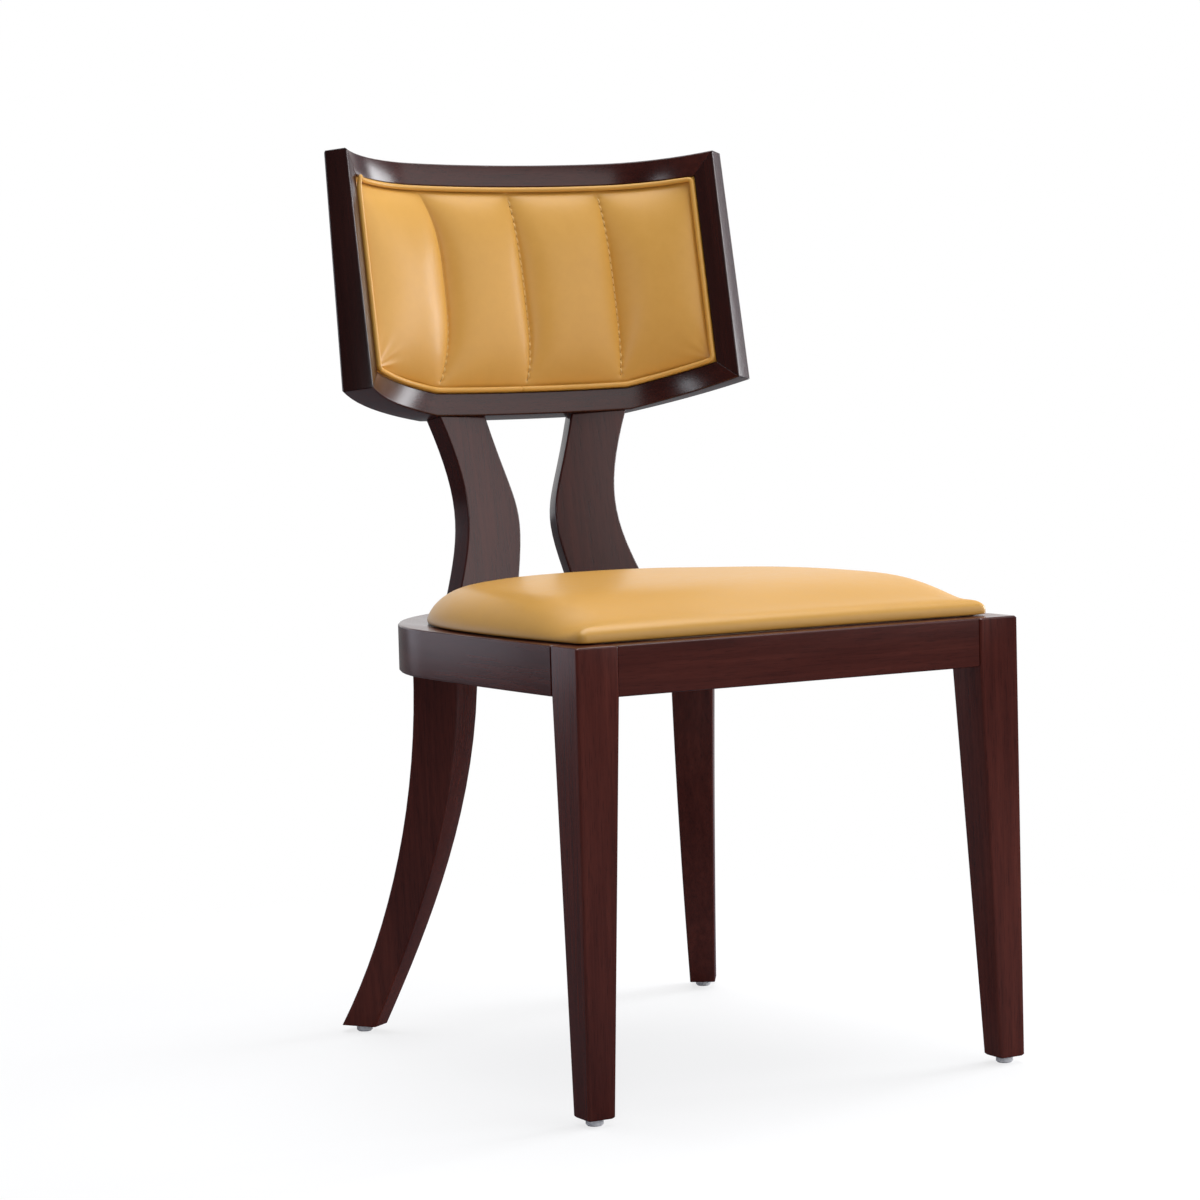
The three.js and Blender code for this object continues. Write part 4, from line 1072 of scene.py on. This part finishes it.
def seat_cushion(material):
    """A crowned cushion, tucked in where it meets the frame, filled by cloth simulation."""
    outline = cushion_outline(CUSHION_CORNER)
    points = []
    for inset, height in HEM:
        for p in outline:
            q = p * (1 - inset / p.length)
            points.append(CUSHION_MIDDLE + Vector((q.x, q.y, height)))
    for share in RING_SHARES:
        for p in outline:
            q = p * (1 - share)
            points.append(CUSHION_MIDDLE + Vector((q.x, q.y, seat_height(q))))
    count, rings = len(outline), len(HEM) + len(RING_SHARES)
    faces = strip(rings, count, 0, True)
    top = len(points)
    points.append(CUSHION_MIDDLE + Vector((0, 0, seat_height(Vector((0, 0))))))
    points.append(CUSHION_MIDDLE + Vector((0, 0, HEM[0][1])))
    last = (rings - 1) * count
    for j in range(count):
        k = (j + 1) % count
        faces.append((last + j, last + k, top))
        faces.append((k, j, top + 1))
    held = [*range(len(HEM) * count), top + 1]
    moved = filling(points, faces, held, **SEAT_FILLING)
    insets = [0] * (len(HEM) * count)
    insets += [share for share in RING_SHARES for _ in range(count)]
    insets += [1, 0]
    moved = evened(np.array(points)[:, :2], moved, np.array(insets) * CUSHION_HALF)
    points = [p + Vector(way) for p, way in zip(points, moved)]
    made = piece("seat_cushion", points, faces, material, ("seat_cover", "seat_foam"))
    subdivide(made)


def dust_cover(material):
    """The black cloth under the seat, stretched over the board and sagging a little."""
    outline = []
    for p in cushion_outline(CUSHION_CORNER):
        outline.append(p * (1 - DUST_INSET / p.length))
    points, count = [], len(outline)
    for share in DUST_RING_SHARES:
        for p in outline:
            ripple = noise.noise(Vector((p.x, p.y, 0)) * share * DUST_RIPPLE_SCALE + DUST_RIPPLE_PLACE)
            sag = abs(DUST_SAG * (1 - share**2) + DUST_SAG / 4 * ripple)
            points.append(CUSHION_MIDDLE + Vector((p.x * share, p.y * share, -GAP - sag)))
    middle = len(points)
    points.append(CUSHION_MIDDLE + Vector((0, 0, -GAP - DUST_SAG)))
    faces = strip(len(DUST_RING_SHARES), count, 0, True)
    last = (len(DUST_RING_SHARES) - 1) * count
    faces += [(last + j, last + (j + 1) % count, middle) for j in range(count)]
    made = piece("dust_cover_cloth", points, faces, material, ("dust_cover",))
    hem = made.modifiers.new("Thickness", "SOLIDIFY")
    hem.thickness = DUST_THICKNESS
    hem.offset = 0


# Floor, light and camera


def stage_material():
    """A pale floor that the camera sees as white, and that keeps the chair's shadow."""
    s = Shader("studio_floor")
    ray = s.node("LightPath").outputs
    where = s.node("TexCoord").outputs["Object"]
    length = s.node("VectorMath", {0: where}, operation="LENGTH").outputs["Value"]
    way = s.node("VectorMath", {0: where}, operation="NORMALIZE").outputs[0]
    facing = s.node("VectorMath", {0: way, 1: AHEAD}, operation="DOT_PRODUCT").outputs["Value"]
    behind = s.span(facing, 0, 1, BACKDROP_EDGE, BACKDROP_FULL)
    sweep = s.maths("MULTIPLY", behind, s.span(length, 0, SWEEP_SHARE, SWEEP_INNER, SWEEP_OUTER))
    mirrored = s.maths("MAXIMUM", ray["Is Glossy Ray"], ray["Is Transmission Ray"])
    seen = s.maths("MAXIMUM", ray["Is Camera Ray"], s.maths("MULTIPLY", mirrored, sweep))
    pale = s.ramp(s.noise(s.place(), 3, detail=2), FLOOR_PALE)
    plain = s.node("BsdfDiffuse", {"Color": s.blend(mirrored, pale, FLOOR_MIRRORED)})
    shaded = s.node("BsdfDiffuse", {"Color": FLOOR_SHADED})
    lift = s.node("Emission", {"Color": WHITE, "Strength": FLOOR_LIFT})
    catcher = s.node("AddShader", {0: shaded.outputs[0], 1: lift.outputs[0]})
    white = s.node("Emission", {"Color": WHITE, "Strength": 1.0})
    far = s.span(length, 0.0, 1.0, FADE_INNER, FADE_OUTER)
    fade = s.node("MixShader", {0: far, 1: catcher.outputs[0], 2: white.outputs[0]})
    return s.show(s.node("MixShader", {0: seen, 1: plain.outputs[0], 2: fade.outputs[0]}))


def floor():
    """A wide square just below the feet, which isn't part of the chair."""
    mesh = bpy.data.meshes.new("floor")
    corners = [(x * FLOOR_REACH, y * FLOOR_REACH, 0) for x, y in ((-1, -1), (1, -1), (1, 1), (-1, 1))]
    mesh.from_pydata(corners, [], [(0, 1, 2, 3)])
    made = bpy.data.objects.new("floor", mesh)
    made.location = (0, 0, -FLOOR_DROP)
    scene.collection.objects.link(made)
    mesh.materials.append(stage_material())


def world():
    """A white backdrop behind the chair in a dim studio. The camera sees white all round."""
    s = Shader("studio", "worlds", "OutputWorld")
    ray = s.node("LightPath").outputs
    way = s.node("TexCoord").outputs["Generated"]
    facing = s.node("VectorMath", {0: way, 1: AHEAD}, operation="DOT_PRODUCT").outputs["Value"]
    edges = {"Value": facing, "From Min": BACKDROP_EDGE, "From Max": BACKDROP_FULL}
    backdrop = s.node("MapRange", edges, interpolation_type="SMOOTHSTEP").outputs[0]
    mirrored = s.maths("MAXIMUM", ray["Is Glossy Ray"], ray["Is Transmission Ray"])
    seen = s.maths("ADD", s.maths("MULTIPLY", mirrored, backdrop), ray["Is Camera Ray"])
    gradient = s.span(facing, DIM_BEFORE, DIM_BEHIND, DIM_START, DIM_END)
    strength = s.node("Mix", {"Factor": ray["Is Diffuse Ray"], "A": gradient, "B": DIM_DIFFUSE})
    dim = s.node("Background", {"Color": DIM_COLOUR, "Strength": strength.outputs[0]})
    white = s.node("Background", {"Color": WHITE})
    scene.world = s.show(s.node("MixShader", {0: seen, 1: dim.outputs[0], 2: white.outputs[0]}))


def lights():
    """Softboxes round the chair."""
    for name, (place, size, power, colour) in SOFTBOXES.items():
        data = bpy.data.lights.new(name, "AREA")
        data.shape = "RECTANGLE"
        data.size, data.size_y = size
        data.energy = power
        data.color = colour
        made = bpy.data.objects.new(name, data)
        made.location = place
        made.rotation_mode = "QUATERNION"
        made.rotation_quaternion = (LIGHT_TARGET - Vector(place)).to_track_quat("-Z", "Y")
        scene.collection.objects.link(made)


def camera():
    """The photograph's own place and lens."""
    level, right = Vector(AHEAD), Vector((AHEAD[1], -AHEAD[0], 0))
    ahead = level * math.cos(CAMERA_DIP) - Vector((0, 0, math.sin(CAMERA_DIP)))
    up = right.cross(ahead)
    turned_right = right * math.cos(CAMERA_ROLL) + up * math.sin(CAMERA_ROLL)
    turned_up = up * math.cos(CAMERA_ROLL) - right * math.sin(CAMERA_ROLL)
    place = Vector((0, FRONT_Y, CAMERA_HEIGHT)) + right * CAMERA_SIDE - level * CAMERA_DISTANCE
    data = bpy.data.cameras.new("camera")
    data.lens = CAMERA_LENS
    data.sensor_width = CAMERA_SENSOR
    data.clip_start = CAMERA_NEAR
    data.clip_end = CAMERA_FAR
    made = bpy.data.objects.new("camera", data)
    turn = Matrix((turned_right, turned_up, -ahead)).transposed()
    made.matrix_world = Matrix.Translation(place) @ turn.to_4x4()
    scene.collection.objects.link(made)
    scene.camera = made


smooth_curves = smoothing()
dress_frame()
mustard, threads, holes = leather(), thread(), painted_hole_shade()
for number, line in enumerate(back_cushion(mustard), 1):
    stitch_row(f"back_stitches_{number}", line, threads, holes)
piping(mustard)
rear_cover(mustard)
seat_cushion(mustard)
dust_cover(black_cloth())
floor()
world()
lights()
camera()
scene.view_settings.view_transform = "Standard"
